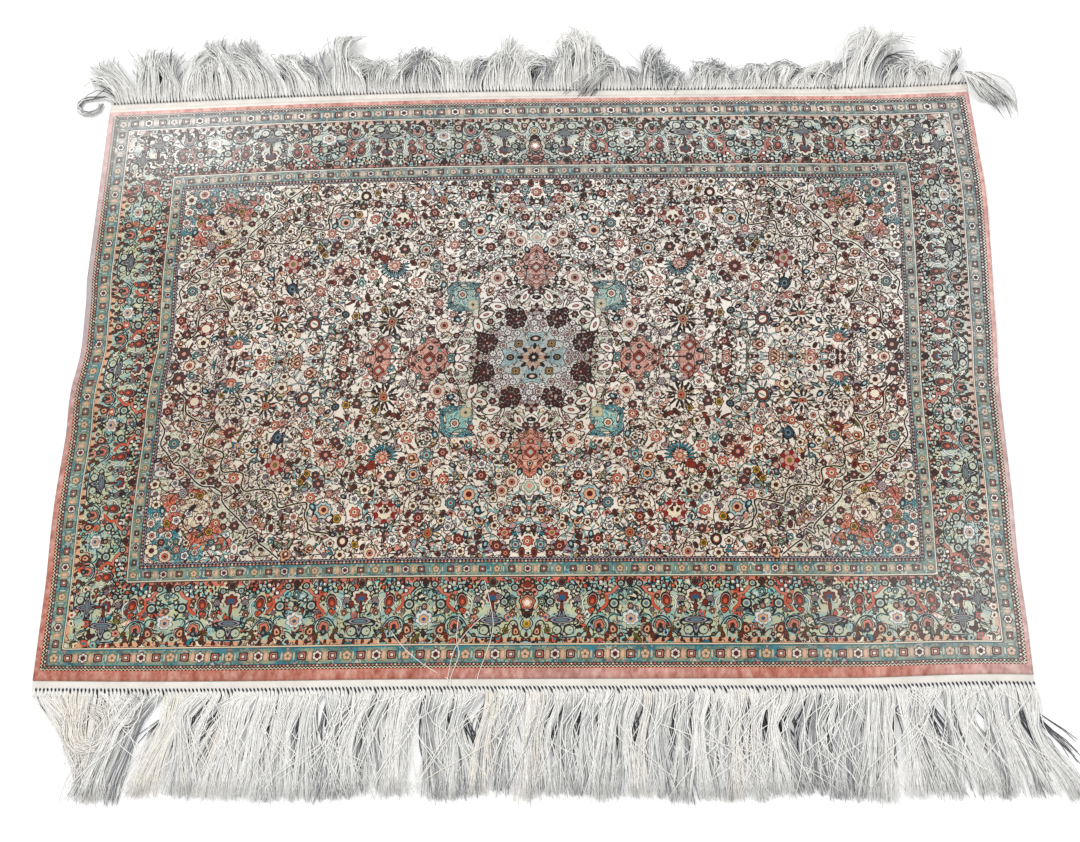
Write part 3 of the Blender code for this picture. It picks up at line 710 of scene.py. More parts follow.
def assign_stamps(table, fine_x, fine_y):
    """For each face the stamp under the stems, and the upper two over them (-1 for none)."""
    slots = {name: np.full((ROWS, COLUMNS), -1) for name in ("under", "second", "first")}
    order = np.argsort(table["rank"], kind="stable")
    for k in order:
        reach = 1.6 * max(table["length"][k], table["width"][k]) + 4
        x, y = table["x"][k], table["y"][k]
        i0, i1, j0, j1 = window_of(x - reach, x + reach, y - reach, y + reach)
        if i0 >= i1 or j0 >= j1:
            continue
        fx = fine_x[2 * j0 : 2 * j1 + 1, 2 * i0 : 2 * i1 + 1]
        fy = fine_y[2 * j0 : 2 * j1 + 1, 2 * i0 : 2 * i1 + 1]
        along, across = local_of(table, k, fx, fy)
        angle = np.arctan2(across, along)
        form = [table[key][k] for key in ("petals", "lobe", "lean")]
        share = np.hypot(along, across) / outline_radius(angle, *form)
        low = np.full((j1 - j0, i1 - i0), np.inf)
        for a in range(3):  # the lowest of a face's corners, sides and middle
            for b in range(3):
                low = np.minimum(low, share[a : a + 2 * (j1 - j0) : 2, b : b + 2 * (i1 - i0) : 2])
        touched = low < 1.0
        if min(table["length"][k], table["width"][k]) < 3.0:
            middle = np.hypot(fx[1::2, 1::2] - x, fy[1::2, 1::2] - y)
            touched |= middle <= middle.min() + 1e-9
        window = (slice(j0, j1), slice(i0, i1))
        if table["under"][k]:
            slots["under"][window][touched] = k
        else:
            slots["second"][window][touched] = slots["first"][window][touched]
            slots["first"][window][touched] = k
    return slots


def assign_stems(centre_x, centre_y):
    """For each face the two nearest pieces of stem: stem number, segment number, distance."""
    count = ROWS * COLUMNS
    best = {"id": np.full((2, count), -1), "segment": np.zeros((2, count), int)}
    best["away"] = np.full((2, count), 1e9)
    for number, (line, half, edge, *_) in enumerate(stems):
        width = half + edge + 2.5
        for start in range(0, len(line) - 1, 8):
            chunk = line[start : start + 9]
            low, high = chunk.min(0) - width, chunk.max(0) + width
            i0, i1, j0, j1 = window_of(low[0], high[0], low[1], high[1])
            if i0 >= i1 or j0 >= j1:
                continue
            jj, ii = np.mgrid[j0:j1, i0:i1]
            faces = (jj * COLUMNS + ii).ravel()
            px, py = centre_x.ravel()[faces], centre_y.ravel()[faces]
            a, b = chunk[:-1], chunk[1:]
            d = b - a
            size = np.maximum(1e-9, (d**2).sum(1))
            t = ((px[:, None] - a[:, 0]) * d[:, 0] + (py[:, None] - a[:, 1]) * d[:, 1]) / size
            t = np.clip(t, 0, 1)
            gap = np.hypot(px[:, None] - a[:, 0] - t * d[:, 0], py[:, None] - a[:, 1] - t * d[:, 1])
            nearest = gap.argmin(1)
            away = gap[np.arange(len(faces)), nearest]
            hit = away < width
            faces, nearest, away = faces[hit], nearest[hit] + start, away[hit]
            score = away - half - edge
            better = score < best["away"][0][faces]
            same = best["id"][0][faces] == number
            near = np.abs(best["segment"][0][faces] - nearest) < 12
            keep = better & ~(same & near)  # the former nearest becomes the second
            for key in best:
                best[key][1][faces[keep]] = best[key][0][faces[keep]]
            rest = ~better & ~(same & near) & (score < best["away"][1][faces])
            for level, chosen in ((0, better), (1, rest)):
                best["id"][level][faces[chosen]] = number
                best["segment"][level][faces[chosen]] = nearest[chosen]
                best["away"][level][faces[chosen]] = score[chosen]
    return best


def stem_distance(ids, segments, x, y):
    """Signed distance from the points (faces by corners) to their stems, near their segments."""
    result = np.full(x.shape, 99.0)
    for number in np.unique(ids[ids >= 0]):
        rows = np.nonzero(ids == number)[0]
        line = stems[number][0]
        px, py = x[rows], y[rows]
        found = np.full(px.shape, 1e9)
        signed = np.full(px.shape, 99.0)
        for shift in (-2, -1, 0, 1, 2):
            k = np.clip(segments[rows] + shift, 0, len(line) - 2)
            a, d = line[k], line[k + 1] - line[k]
            size = np.maximum(1e-9, (d**2).sum(1))[:, None]
            rx, ry = px - a[:, :1], py - a[:, 1:]
            t = np.clip((rx * d[:, :1] + ry * d[:, 1:]) / size, 0, 1)
            gap = np.hypot(rx - t * d[:, :1], ry - t * d[:, 1:])
            cross = d[:, :1] * ry - d[:, 1:] * rx
            closer = gap < found
            signed = np.where(closer, np.where(cross < 0, -gap, gap), signed)
            found = np.minimum(found, gap)
        result[rows] = signed
    return result


SHEEN_AND_SHADE = rows_of(  # painted sheen and painted shade by place on the sheet (metres): lighter or darker (gain), a pale haze, greyer, and the rim painted paler (fade)
    "x y wide deep gain haze grey fade",
    (-0.54, 0.37, 0.3, 0.17, 0.3, 0.62, 0.46, 0.25),
    (0.05, 0.39, 1.5, 0.17, 0.25, 0.06, 0.46, 0.5),
    (0.12, 0.15, 0.95, 0.32, 0.19, 0, 0.46, 0),
    (0.62, 0.05, 0.22, 0.75, 0.3, 0.1, 0.42, 0.65),
    (0.62, -0.26, 0.16, 0.46, 0, 0, 0, 0.8),
    (0.52, -0.34, 0.27, 0.21, 0.08, 0.34, 0.28, 0.05),
    (0.05, -0.41, 0.24, 0.1, 0, 0, 0, 0.45),
    (-0.61, 0.18, 0.1, 0.55, 0, 0.05, 0, 0.95),
    (-0.61, 0.12, 0.1, 0.24, 0, 0, 0, 0.9),
    (-0.4, -0.1, 0.24, 0.17, -0.13, 0, 0, 0),
    (0, 0.01, 0.17, 0.15, -0.24, 0, 0, 0),
    (0.2, -0.12, 0.2, 0.16, -0.05, 0, 0, 0),
    (-0.1, 0.35, 0.3, 0.08, -0.08, 0, 0, -0.15),
)


# The painted sheen and shade of one column, at places on the sheet.
def sheen_and_shade_of(x, y, column):
    bumps = [bump_of((x - row["x"]) / row["wide"]) * bump_of((y - row["y"]) / row["deep"]) for row in SHEEN_AND_SHADE]
    return sum(row[column] * bump for row, bump in zip(SHEEN_AND_SHADE, bumps))


def ring_of(index):
    """The outer ring of a grid of vertex numbers, in order."""
    return np.concatenate([index[0, :-1], index[:-1, -1], index[-1, :0:-1], index[:0:-1, 0]])


def closed_sheet_mesh(name):
    """The pile sheet: a fine top whose rim is rounded over, a low wall and a plain underside."""
    u, v = np.meshgrid(np.linspace(0, 1, COLUMNS + 1), np.linspace(0, 1, ROWS + 1))
    x, y = sheet_place(u, v)
    noise = np.random.default_rng(5).normal(0, 1, x.shape)
    smooth = (noise + np.roll(noise, 1, 0) + np.roll(noise, 1, 1) + np.roll(noise, (1, 1), (0, 1))) / 2
    z = ripple_height(x, y) + SHEET_THICKNESS + FINE_PILE * (smooth * 0.35 - 0.5)
    rim = np.ones_like(x, bool)
    rim[1:-1, 1:-1] = False
    z[rim] = ripple_height(x[rim], y[rim]) + SHEET_THICKNESS * 0.62
    top = np.stack([x, y, z], -1).reshape(-1, 3)
    index = np.arange(top.shape[0]).reshape(ROWS + 1, COLUMNS + 1)
    quads = np.stack([index[:-1, :-1], index[:-1, 1:], index[1:, 1:], index[1:, :-1]], -1).reshape(-1, 4)
    ring = ring_of(index)
    low = top[ring].copy()
    low[:, 2] = ripple_height(low[:, 0], low[:, 1])
    low_index = len(top) + np.arange(len(ring))
    walls = np.stack([ring, low_index, np.roll(low_index, -1), np.roll(ring, -1)], -1)
    # The underside: a coarse grid, and a ring of triangles out to the rim.
    cu, cv = np.meshgrid(np.linspace(0.03, 0.97, UNDER_COLUMNS + 1), np.linspace(0.04, 0.96, UNDER_ROWS + 1))
    bx, by = sheet_place(cu, cv)
    under = np.stack([bx, by, ripple_height(bx, by)], -1).reshape(-1, 3)
    under_index = len(top) + len(low) + np.arange(len(under)).reshape(cu.shape)
    under_quads = np.stack(
        [under_index[:-1, :-1], under_index[1:, :-1], under_index[1:, 1:], under_index[:-1, 1:]], -1
    ).reshape(-1, 4)
    inner = ring_of(under_index)
    points = np.concatenate([top, low, under])
    triangles = []
    o = n = 0
    for side in range(4):  # steps along whichever ring lags behind
        count_o, count_n = (ROWS, UNDER_ROWS) if side % 2 else (COLUMNS, UNDER_COLUMNS)
        start_o, start_n, end_o, end_n = o, n, o + count_o, n + count_n
        while o < end_o or n < end_n:
            share_o, share_n = (o + 1 - start_o) / count_o, (n + 1 - start_n) / count_n
            here_o, here_n = low_index[o % len(ring)], inner[n % len(inner)]
            if o < end_o and (share_o <= share_n or n >= end_n):
                triangles.append((here_o, here_n, low_index[(o + 1) % len(ring)]))
                o += 1
            else:
                triangles.append((here_o, here_n, inner[(n + 1) % len(inner)]))
                n += 1
    mesh = bpy.data.meshes.new(name)
    faces = quads.tolist() + walls.tolist() + under_quads.tolist() + np.array(triangles).tolist()
    mesh.from_pydata(points.tolist(), [], faces)
    mesh.update()
    return mesh, len(quads)


def write_attribute(mesh, name, domain, values):
    kind, field = ("FLOAT", "value") if values.ndim == 1 else ("FLOAT_VECTOR", "vector")
    layer = mesh.attributes.new(name, kind, domain)
    layer.data.foreach_set(field, np.ascontiguousarray(values, np.float32).ravel())


def add_object(name, data):
    obj = bpy.data.objects.new(name, data)
    bpy.context.scene.collection.objects.link(obj)
    return obj


STAMP_GROUPS = {  # attributes of three columns each
    "_form": ("petals", "lobe", "lean"),
    "_inner": ("line", "ring", "heart"),
    "_silks": ("petal_silk", "ring_silk", "heart_silk"),
}
SIDE_RIMS = (0.056, 0.040)  # the left and the right rim, as shares of the border


def build_rug():
    mesh, top_faces = closed_sheet_mesh("rug_pile")
    face_count, loop_count = len(mesh.polygons), len(mesh.loops)
    fu, fv = np.meshgrid(np.linspace(0, 1, 2 * COLUMNS + 1), np.linspace(0, 1, 2 * ROWS + 1))
    fine_x, fine_y = design_place(fu, fv)
    centre_x, centre_y = fine_x[1::2, 1::2], fine_y[1::2, 1::2]
    corner_x, corner_y = fine_x[::2, ::2], fine_y[::2, ::2]
    take = [(slice(0, -1), slice(0, -1)), (slice(0, -1), slice(1, None)),
            (slice(1, None), slice(1, None)), (slice(1, None), slice(0, -1))]
    loops_x = np.stack([corner_x[s].ravel() for s in take], -1)
    loops_y = np.stack([corner_y[s].ravel() for s in take], -1)

    def write_corners(name, values, fill=0.0):
        full = np.full((loop_count,) + values.shape[2:], fill, np.float32)
        full[: top_faces * 4] = values.reshape((top_faces * 4,) + values.shape[2:])
        write_attribute(mesh, name, "CORNER", full)

    def write_faces(name, values):
        full = np.zeros((face_count,) + values.shape[1:], np.float32)
        full[:top_faces] = values
        write_attribute(mesh, name, "FACE", full)

    # Depth into the border and place along it.
    depth_x = (HALF_W - np.abs(loops_x)) / (HALF_W - FIELD_W)
    # The rim is narrower at the two sides, and narrowest at the right.
    wide, inner = GUARDS[0]
    left, right = (np.interp(depth_x, [0, rim, inner, 9], [0, wide, inner, 9]) for rim in SIDE_RIMS)
    depth_x = np.where(loops_x < 0, left, right)
    depth_y = (HALF_D - np.abs(loops_y)) / (HALF_D - FIELD_D)
    depth = np.minimum(depth_x, depth_y)
    side_face = (depth_x.mean(1) < depth_y.mean(1))[:, None]
    along = np.where(side_face, loops_y, loops_x)
    from_back = np.where(loops_y > 0, depth_y, 1.0)
    write_corners("lay", np.stack([depth, along, from_back], -1))
    # The pattern's centimetres, the same in its four mirrored quarters.
    quarter = np.stack([np.abs(loops_x), np.abs(loops_y), loops_x * 0], -1) / 10
    write_corners("quarter", quarter)

    table = table_of_stamps()
    slots = assign_stamps(table, fine_x, fine_y)
    for name, slot in slots.items():
        ids = slot.ravel()
        there = ids >= 0
        safe = np.where(there, ids, 0)
        spread = np.repeat(safe[:, None], 4, 1)
        a, b = local_of(table, spread, loops_x, loops_y)
        a, b = np.where(there[:, None], a, 9.0), np.where(there[:, None], b, 9.0)
        write_corners(name + "_place", np.stack([a, b, a * 0], -1), 9.0)
        for group, keys in STAMP_GROUPS.items():
            values = np.stack([table[key][safe] for key in keys], -1)
            write_faces(name + group, values)
        write_faces(name + "_line", table["line_silk"][safe])

    best = assign_stems(centre_x, centre_y)
    stem_table = np.array(
        [(s[1], s[2], SILK_NAMES.index(s[3]), SILK_NAMES.index(s[4])) for s in stems], float
    )
    for k, name in enumerate(("stem_a", "stem_b")):
        ids = best["id"][k]
        away = stem_distance(ids, best["segment"][k], loops_x, loops_y)
        safe = np.where(ids >= 0, ids, 0)
        rows = stem_table[safe]
        write_corners(name + "_away", away, 99.0)
        write_faces(name + "_form", rows[:, :3])
        write_faces(name + "_edge", rows[:, 3])

    # Painted sheen and painted shade, and the rim's painted paling, by place on the sheet.
    places = np.array([v.co[:2] for v in mesh.vertices])
    painted_sheen_and_shade = [sheen_and_shade_of(places[:, 0], places[:, 1], column) for column in ("gain", "haze", "grey")]
    write_attribute(mesh, "painted_sheen_and_shade", "POINT", np.stack(painted_sheen_and_shade, -1))
    write_attribute(mesh, "fade", "POINT", sheen_and_shade_of(places[:, 0], places[:, 1], "fade"))

    # A plain flat layout for baking: the pile fills most of it, the underside a strip at the top.
    layer = mesh.uv_layers.new(name="OFBake")
    points = np.empty(len(mesh.vertices) * 3, np.float32)
    mesh.vertices.foreach_get("co", points)
    vertex = np.empty(loop_count, np.int32)
    mesh.loops.foreach_get("vertex_index", vertex)
    where = points.reshape(-1, 3)[vertex]
    flat = np.empty((loop_count, 2), np.float32)
    flat[:, 0] = where[:, 0] / 1.26 + 0.5
    flat[:, 1] = (where[:, 1] / 0.86 + 0.5) * 0.93 + 0.002
    flat[top_faces * 4 :, 1] = 0.94 + (where[top_faces * 4 :, 1] / 0.86 + 0.5) * 0.055
    layer.data.foreach_set("uv", flat.ravel())
    mesh.polygons.foreach_set("use_smooth", np.ones(face_count, bool))
    return add_object("rug_pile", mesh)


# ---------------------------------------------------------------- materials
def linear(colour):
    """A linear colour from a silk's name, a linear grey, or sRGB values of 0 to 255."""
    if isinstance(colour, float):
        return (colour,) * 3
    rgb = SILKS[colour] if isinstance(colour, str) else colour
    return tuple((c / 255 / 12.92) if c <= 10 else ((c / 255 + 0.055) / 1.055) ** 2.4 for c in rgb)


class Nodes:
    """A short way to write node trees."""

    def __init__(self, tree):
        self.tree = tree

    def new(self, kind, **settings):
        node = self.tree.nodes.new(kind)
        for key, value in settings.items():
            setattr(node, key, value)
        return node

    def put(self, socket, value):
        """Links a socket, or sets it to a number, a vector, a linear colour or a silk's name."""
        if isinstance(value, str):
            value = linear(value)
        if isinstance(value, bpy.types.NodeSocket):
            self.tree.links.new(value, socket)
        elif isinstance(value, tuple) and len(value) == 3 and socket.type == "RGBA":
            socket.default_value = (*value, 1)
        else:
            socket.default_value = value

    def run(self, kind, *values, **settings):
        """The outputs of a new node with these first inputs and settings."""
        node = self.new(kind, **settings)
        for socket, value in zip(node.inputs, values):
            self.put(socket, value)
        return node.outputs

    def math(self, operation, *values, clamp=False):
        return self.run("ShaderNodeMath", *values, operation=operation, use_clamp=clamp)[0]

    add = partialmethod(math, "ADD")
    subtract = partialmethod(math, "SUBTRACT")
    times = partialmethod(math, "MULTIPLY")
    times_add = partialmethod(math, "MULTIPLY_ADD")
    divide = partialmethod(math, "DIVIDE")
    above = partialmethod(math, "GREATER_THAN")
    below = partialmethod(math, "LESS_THAN")
    most = partialmethod(math, "MAXIMUM")
    size = partialmethod(math, "ABSOLUTE")
    floor = partialmethod(math, "FLOOR")
    fract = partialmethod(math, "FRACT")
    cos = partialmethod(math, "COSINE")

    def length(self, x, y):
        return self.math("SQRT", self.add(self.times(x, x), self.times(y, y)))

    def band(self, value, low, high):
        """1 where the value lies between low and high."""
        return self.times(self.above(value, low), self.below(value, high))

    def saw(self, value, rate):
        """A zigzag between 0 and 0.5, this many to one of the value."""
        return self.size(self.subtract(self.fract(self.times(value, rate)), 0.5))

    def vector_math(self, operation, *values, output=0):
        return self.run("ShaderNodeVectorMath", *values, operation=operation)[output]

    def mix(self, factor, a, b, blend="MIX"):
        node = self.new("ShaderNodeMix", data_type="RGBA", blend_type=blend)
        self.put(node.inputs["Factor"], factor)
        self.put(node.inputs[6], a)
        self.put(node.inputs[7], b)
        return node.outputs[2]

    def value(self, name):
        return self.new("ShaderNodeAttribute", attribute_name=name).outputs["Fac"]

    def vector(self, name):
        return self.new("ShaderNodeAttribute", attribute_name=name).outputs["Vector"]

    def split(self, vector):
        return self.run("ShaderNodeSeparateXYZ", vector)

    def noise(self, scale, detail=2.0, rough=0.5, vector=None):
        node = self.new("ShaderNodeTexNoise", noise_dimensions="3D")
        node.inputs["Scale"].default_value = scale
        node.inputs["Detail"].default_value = detail
        node.inputs["Roughness"].default_value = rough
        self.put(node.inputs["Vector"], vector)
        return node.outputs

    def cells(self, scale, vector, feature="F1", spread=1.0):
        node = self.new("ShaderNodeTexVoronoi", voronoi_dimensions="2D", feature=feature)
        node.inputs["Scale"].default_value = scale
        node.inputs["Randomness"].default_value = spread
        self.put(node.inputs["Vector"], vector)
        return node.outputs

    def ramp(self, factor, stops, mode="LINEAR"):
        """A colour ramp; the stops' colours are as in linear()."""
        node = self.new("ShaderNodeValToRGB")
        node.color_ramp.interpolation = mode
        elements = node.color_ramp.elements
        while len(elements) < len(stops):
            elements.new(0.5)
        for element, (place, colour) in zip(elements, stops):
            element.position = place
            element.color = (*linear(colour), 1)
        self.put(node.inputs[0], factor)
        return node.outputs[0]

    def bump(self, shader, height, strength, distance):
        node = self.new("ShaderNodeBump")
        node.inputs["Strength"].default_value = strength
        node.inputs["Distance"].default_value = distance
        self.put(node.inputs["Height"], height)
        self.put(shader.inputs["Normal"], node.outputs[0])

    def use(self, group, **inputs):
        """The colour that a group gives."""
        node = self.new("ShaderNodeGroup", node_tree=group)
        for key, value in inputs.items():
            self.put(node.inputs[key], value)
        return node.outputs[0]


def new_material(name):
    material = bpy.data.materials.new(name)
    material.use_nodes = True
    return material, Nodes(material.node_tree), material.node_tree.nodes["Principled BSDF"]


def new_group(name, inputs):
    """A group that gives a colour, from inputs written as label:kind."""
    tree = bpy.data.node_groups.new(name, "ShaderNodeTree")
    for label, kind in (item.split(":") for item in inputs.split()):
        tree.interface.new_socket(label, in_out="INPUT", socket_type="NodeSocket" + kind)
    tree.interface.new_socket("Colour", in_out="OUTPUT", socket_type="NodeSocketColor")
    nodes = Nodes(tree)
    return tree, nodes, nodes.new("NodeGroupInput").outputs, nodes.new("NodeGroupOutput").inputs["Colour"]


def silk_group():
    """A silk's number to its colour."""
    tree, g, given, result = new_group("Silk", "Number:Float")
    count = len(SILK_NAMES)
    place = g.divide(g.add(given["Number"], 0.5), float(count))
    g.put(result, g.ramp(place, [(k / count, name) for k, name in enumerate(SILK_NAMES)], "CONSTANT"))
    return tree


def flower_group(silk):
    """Draws one flower, leaf or medallion over a colour."""
    tree, g, given, result = new_group(
        "Flower", "Under:Color Place:Vector Form:Vector Inner:Vector Silks:Vector Line:Float")
    x, y = g.split(given["Place"])[:2]
    petals, lobe, lean = g.split(given["Form"])
    line, ring, heart = g.split(given["Inner"])
    silks = g.split(given["Silks"])
    angle = g.math("ARCTAN2", y, x)
    radius = g.length(x, y)
    wave = g.size(g.cos(g.times(g.times(petals, 0.5), angle)))
    lobes = g.subtract(1.0, g.times(lobe, g.subtract(1.0, wave)))
    reach = g.times(lobes, g.times_add(lean, g.cos(angle), 1.0))
    share = g.divide(radius, g.most(reach, 0.05))
    inside = g.below(share, 1.0)
    outline = g.above(share, g.subtract(1.0, line))
    in_ring, in_heart = g.below(share, ring), g.below(share, heart)
    # Fine lines between the petals, and round the ring.
    valley = g.below(g.times(wave, radius), g.times(line, 0.55))
    between = g.times(g.times(valley, g.above(petals, 2.5)), g.subtract(1.0, in_ring))
    rim = g.below(g.size(g.subtract(share, ring)), g.times(line, 0.38))
    rim = g.times(rim, g.above(ring, 0.01))
    drawn = g.most(g.most(outline, rim), g.times(between, 0.8))
    # On large flowers every other petal is tinted, and all are deeper towards the heart.
    index = g.floor(g.times_add(g.times(petals, 1 / (2 * math.pi)), angle, 0.5))
    other = g.size(g.math("MODULO", index, 2.0))
    big = g.times(g.below(line, 0.17), g.above(petals, 6.5))
    line_colour = g.use(silk, Number=given["Line"])
    colour = g.mix(g.times(g.times(other, big), 0.55), g.use(silk, Number=silks[0]), "ivory")
    colour = g.mix(g.times(g.subtract(1.0, share), g.times(big, 0.45)), colour, line_colour)
    colour = g.mix(in_ring, colour, g.use(silk, Number=silks[1]))
    colour = g.mix(in_heart, colour, g.use(silk, Number=silks[2]))
    colour = g.mix(drawn, colour, line_colour)
    g.put(result, g.mix(inside, given["Under"], colour))
    return tree


def stem_group(silk):
    """Draws a stem with its edges over a colour."""
    tree, g, given, result = new_group("Stem", "Under:Color Away:Float Form:Vector Edge:Float")
    half, edge, number = g.split(given["Form"])
    away = g.size(given["Away"])
    colour = g.mix(g.below(away, g.add(half, edge)), given["Under"], g.use(silk, Number=given["Edge"]))
    g.put(result, g.mix(g.below(away, half), colour, g.use(silk, Number=number)))
    return tree


# What fills the ground: the small leaves' silks, each up to a share of them (the first keep the
# ground), the small flowers' petals and hearts, and the inks of the drawing.
FIELD_FILL = (
    "FieldFiligree",
    [(0.62, None), (0.68, "pink"), (0.74, "peach"), (0.79, "sage"), (0.84, "lilac"), (0.88, "slate"),
     (0.91, "tan"), (0.94, "rust"), (0.965, "maroon"), (0.985, "teal"), (1.0, "olive")],
    ["white", "ivory", "cream", "pink", "ivory", "lilac", "white", "peach", "pale_green", "ivory"],
    ["pink", "maroon", "lilac", "rust", "slate", "pink", "brown", "gold", "red", "dark"],
    ("brown", "dark", "brown"), 1.35,
)
BORDER_FILL = (
    "BorderFiligree",
    [(0.50, None), (0.58, "cream"), (0.64, "sky"), (0.71, "coral"), (0.76, "slate"), (0.82, "rust"),
     (0.87, "olive"), (0.91, "teal"), (0.95, "pink"), (0.975, "maroon"), (1.0, "peach")],
    ["pale_green", "cream", "sky", "pale_green", "ivory", "coral", "aqua", "pale_green", "pink", "cream"],
    ["navy", "rust", "teal", "dark", "maroon", "cream", "blue", "red", "olive", "dark"],
    ("dark", "navy", "dark"), 1.40,
)
FILL_LINE = 0.125  # width of its lines, in cm
LEAF_RATE = 0.95  # its small leaves to a cm
LEAF_GAP = 0.12
ROSETTE_SIZE = 0.42  # radius of its small rosettes, as a share of the pitch


def filigree_group(name, tints, petals, hearts, inks, pitch):
    """Small outlined flowers and curling leaves that fill the ground between the larger forms."""
    tree, g, given, result = new_group(name, "Under:Color Place:Vector")
    place, colour = given["Place"], given["Under"]
    broad = g.noise(0.30, 2.0, 0.5, place)[0]
    ink = g.ramp(broad, list(zip((0.0, 0.46, 0.54), inks)), "CONSTANT")
    drift = g.vector_math("SUBTRACT", g.noise(0.80, 1.0, 0.5, place)[1], (0.5, 0.5, 0.5))
    curled = g.vector_math("MULTIPLY_ADD", drift, (1.7, 1.7, 0.0), place)
    # Leaves.
    edge = g.cells(LEAF_RATE, curled, "DISTANCE_TO_EDGE")["Distance"]
    pick = g.split(g.cells(LEAF_RATE, curled)["Color"])[0]
    inside = g.above(edge, LEAF_GAP * LEAF_RATE)
    for (low, _), (high, silk_name) in zip(tints, tints[1:]):
        colour = g.mix(g.times(g.band(pick, low, high), inside), colour, silk_name)
    leaf = g.band(edge, LEAF_GAP * LEAF_RATE, (LEAF_GAP + FILL_LINE) * LEAF_RATE)
    leaf = g.times(leaf, g.above(pick, tints[0][0]))
    # Curls.
    swing = g.saw(g.noise(0.95, 0.0, 0.5, curled)[0], 4.2)
    colour = g.mix(g.most(leaf, g.below(swing, 0.95 * FILL_LINE)), colour, ink)
    # Small rosettes, one to a cell.
    nudged = g.vector_math("MULTIPLY_ADD", drift, (0.4, 0.4, 0.0), place)
    cell = g.cells(1 / pitch, nudged, "F1", 0.8)
    dx, dy, _ = g.split(g.vector_math("SUBTRACT", nudged, cell["Position"]))
    first, second, third = g.split(cell["Color"])
    angle = g.math("ARCTAN2", dy, dx)
    half_count = g.times(g.floor(g.times_add(second, 2.99, 4.0)), 0.5)
    wave = g.size(g.cos(g.times_add(half_count, angle, g.times(first, 9.0))))
    reach = g.times_add(wave, 0.30 * ROSETTE_SIZE * pitch, 0.70 * ROSETTE_SIZE * pitch)
    share = g.divide(g.length(dx, dy), reach)
    there = g.times(g.below(share, 1.0), g.above(third, 0.30))
    rim = g.above(share, 1 - FILL_LINE / (ROSETTE_SIZE * pitch) * 0.95)
    eye = g.below(share, 0.34)
    step = 1 / len(petals)
    petal = g.ramp(first, [(k * step, silk) for k, silk in enumerate(petals)], "CONSTANT")
    heart = g.ramp(second, [(k * step, silk) for k, silk in enumerate(hearts)], "CONSTANT")
    colour = g.mix(there, colour, g.mix(rim, g.mix(eye, petal, heart), ink))
    clear = g.ramp(g.noise(0.62, 1.0, 0.5, place)[0], [(0.565, 0.0), (0.60, 1.0)])
    g.put(result, g.mix(clear, colour, given["Under"]))
    return tree


KNOT_MM = 4.6  # a knot of the guards' rows
STRIP = 0.040  # the plain strips along both edges of the main border
RING_CM, STAR_CM = 4.2, 2.0  # inner radii of the fine drawing round the middle


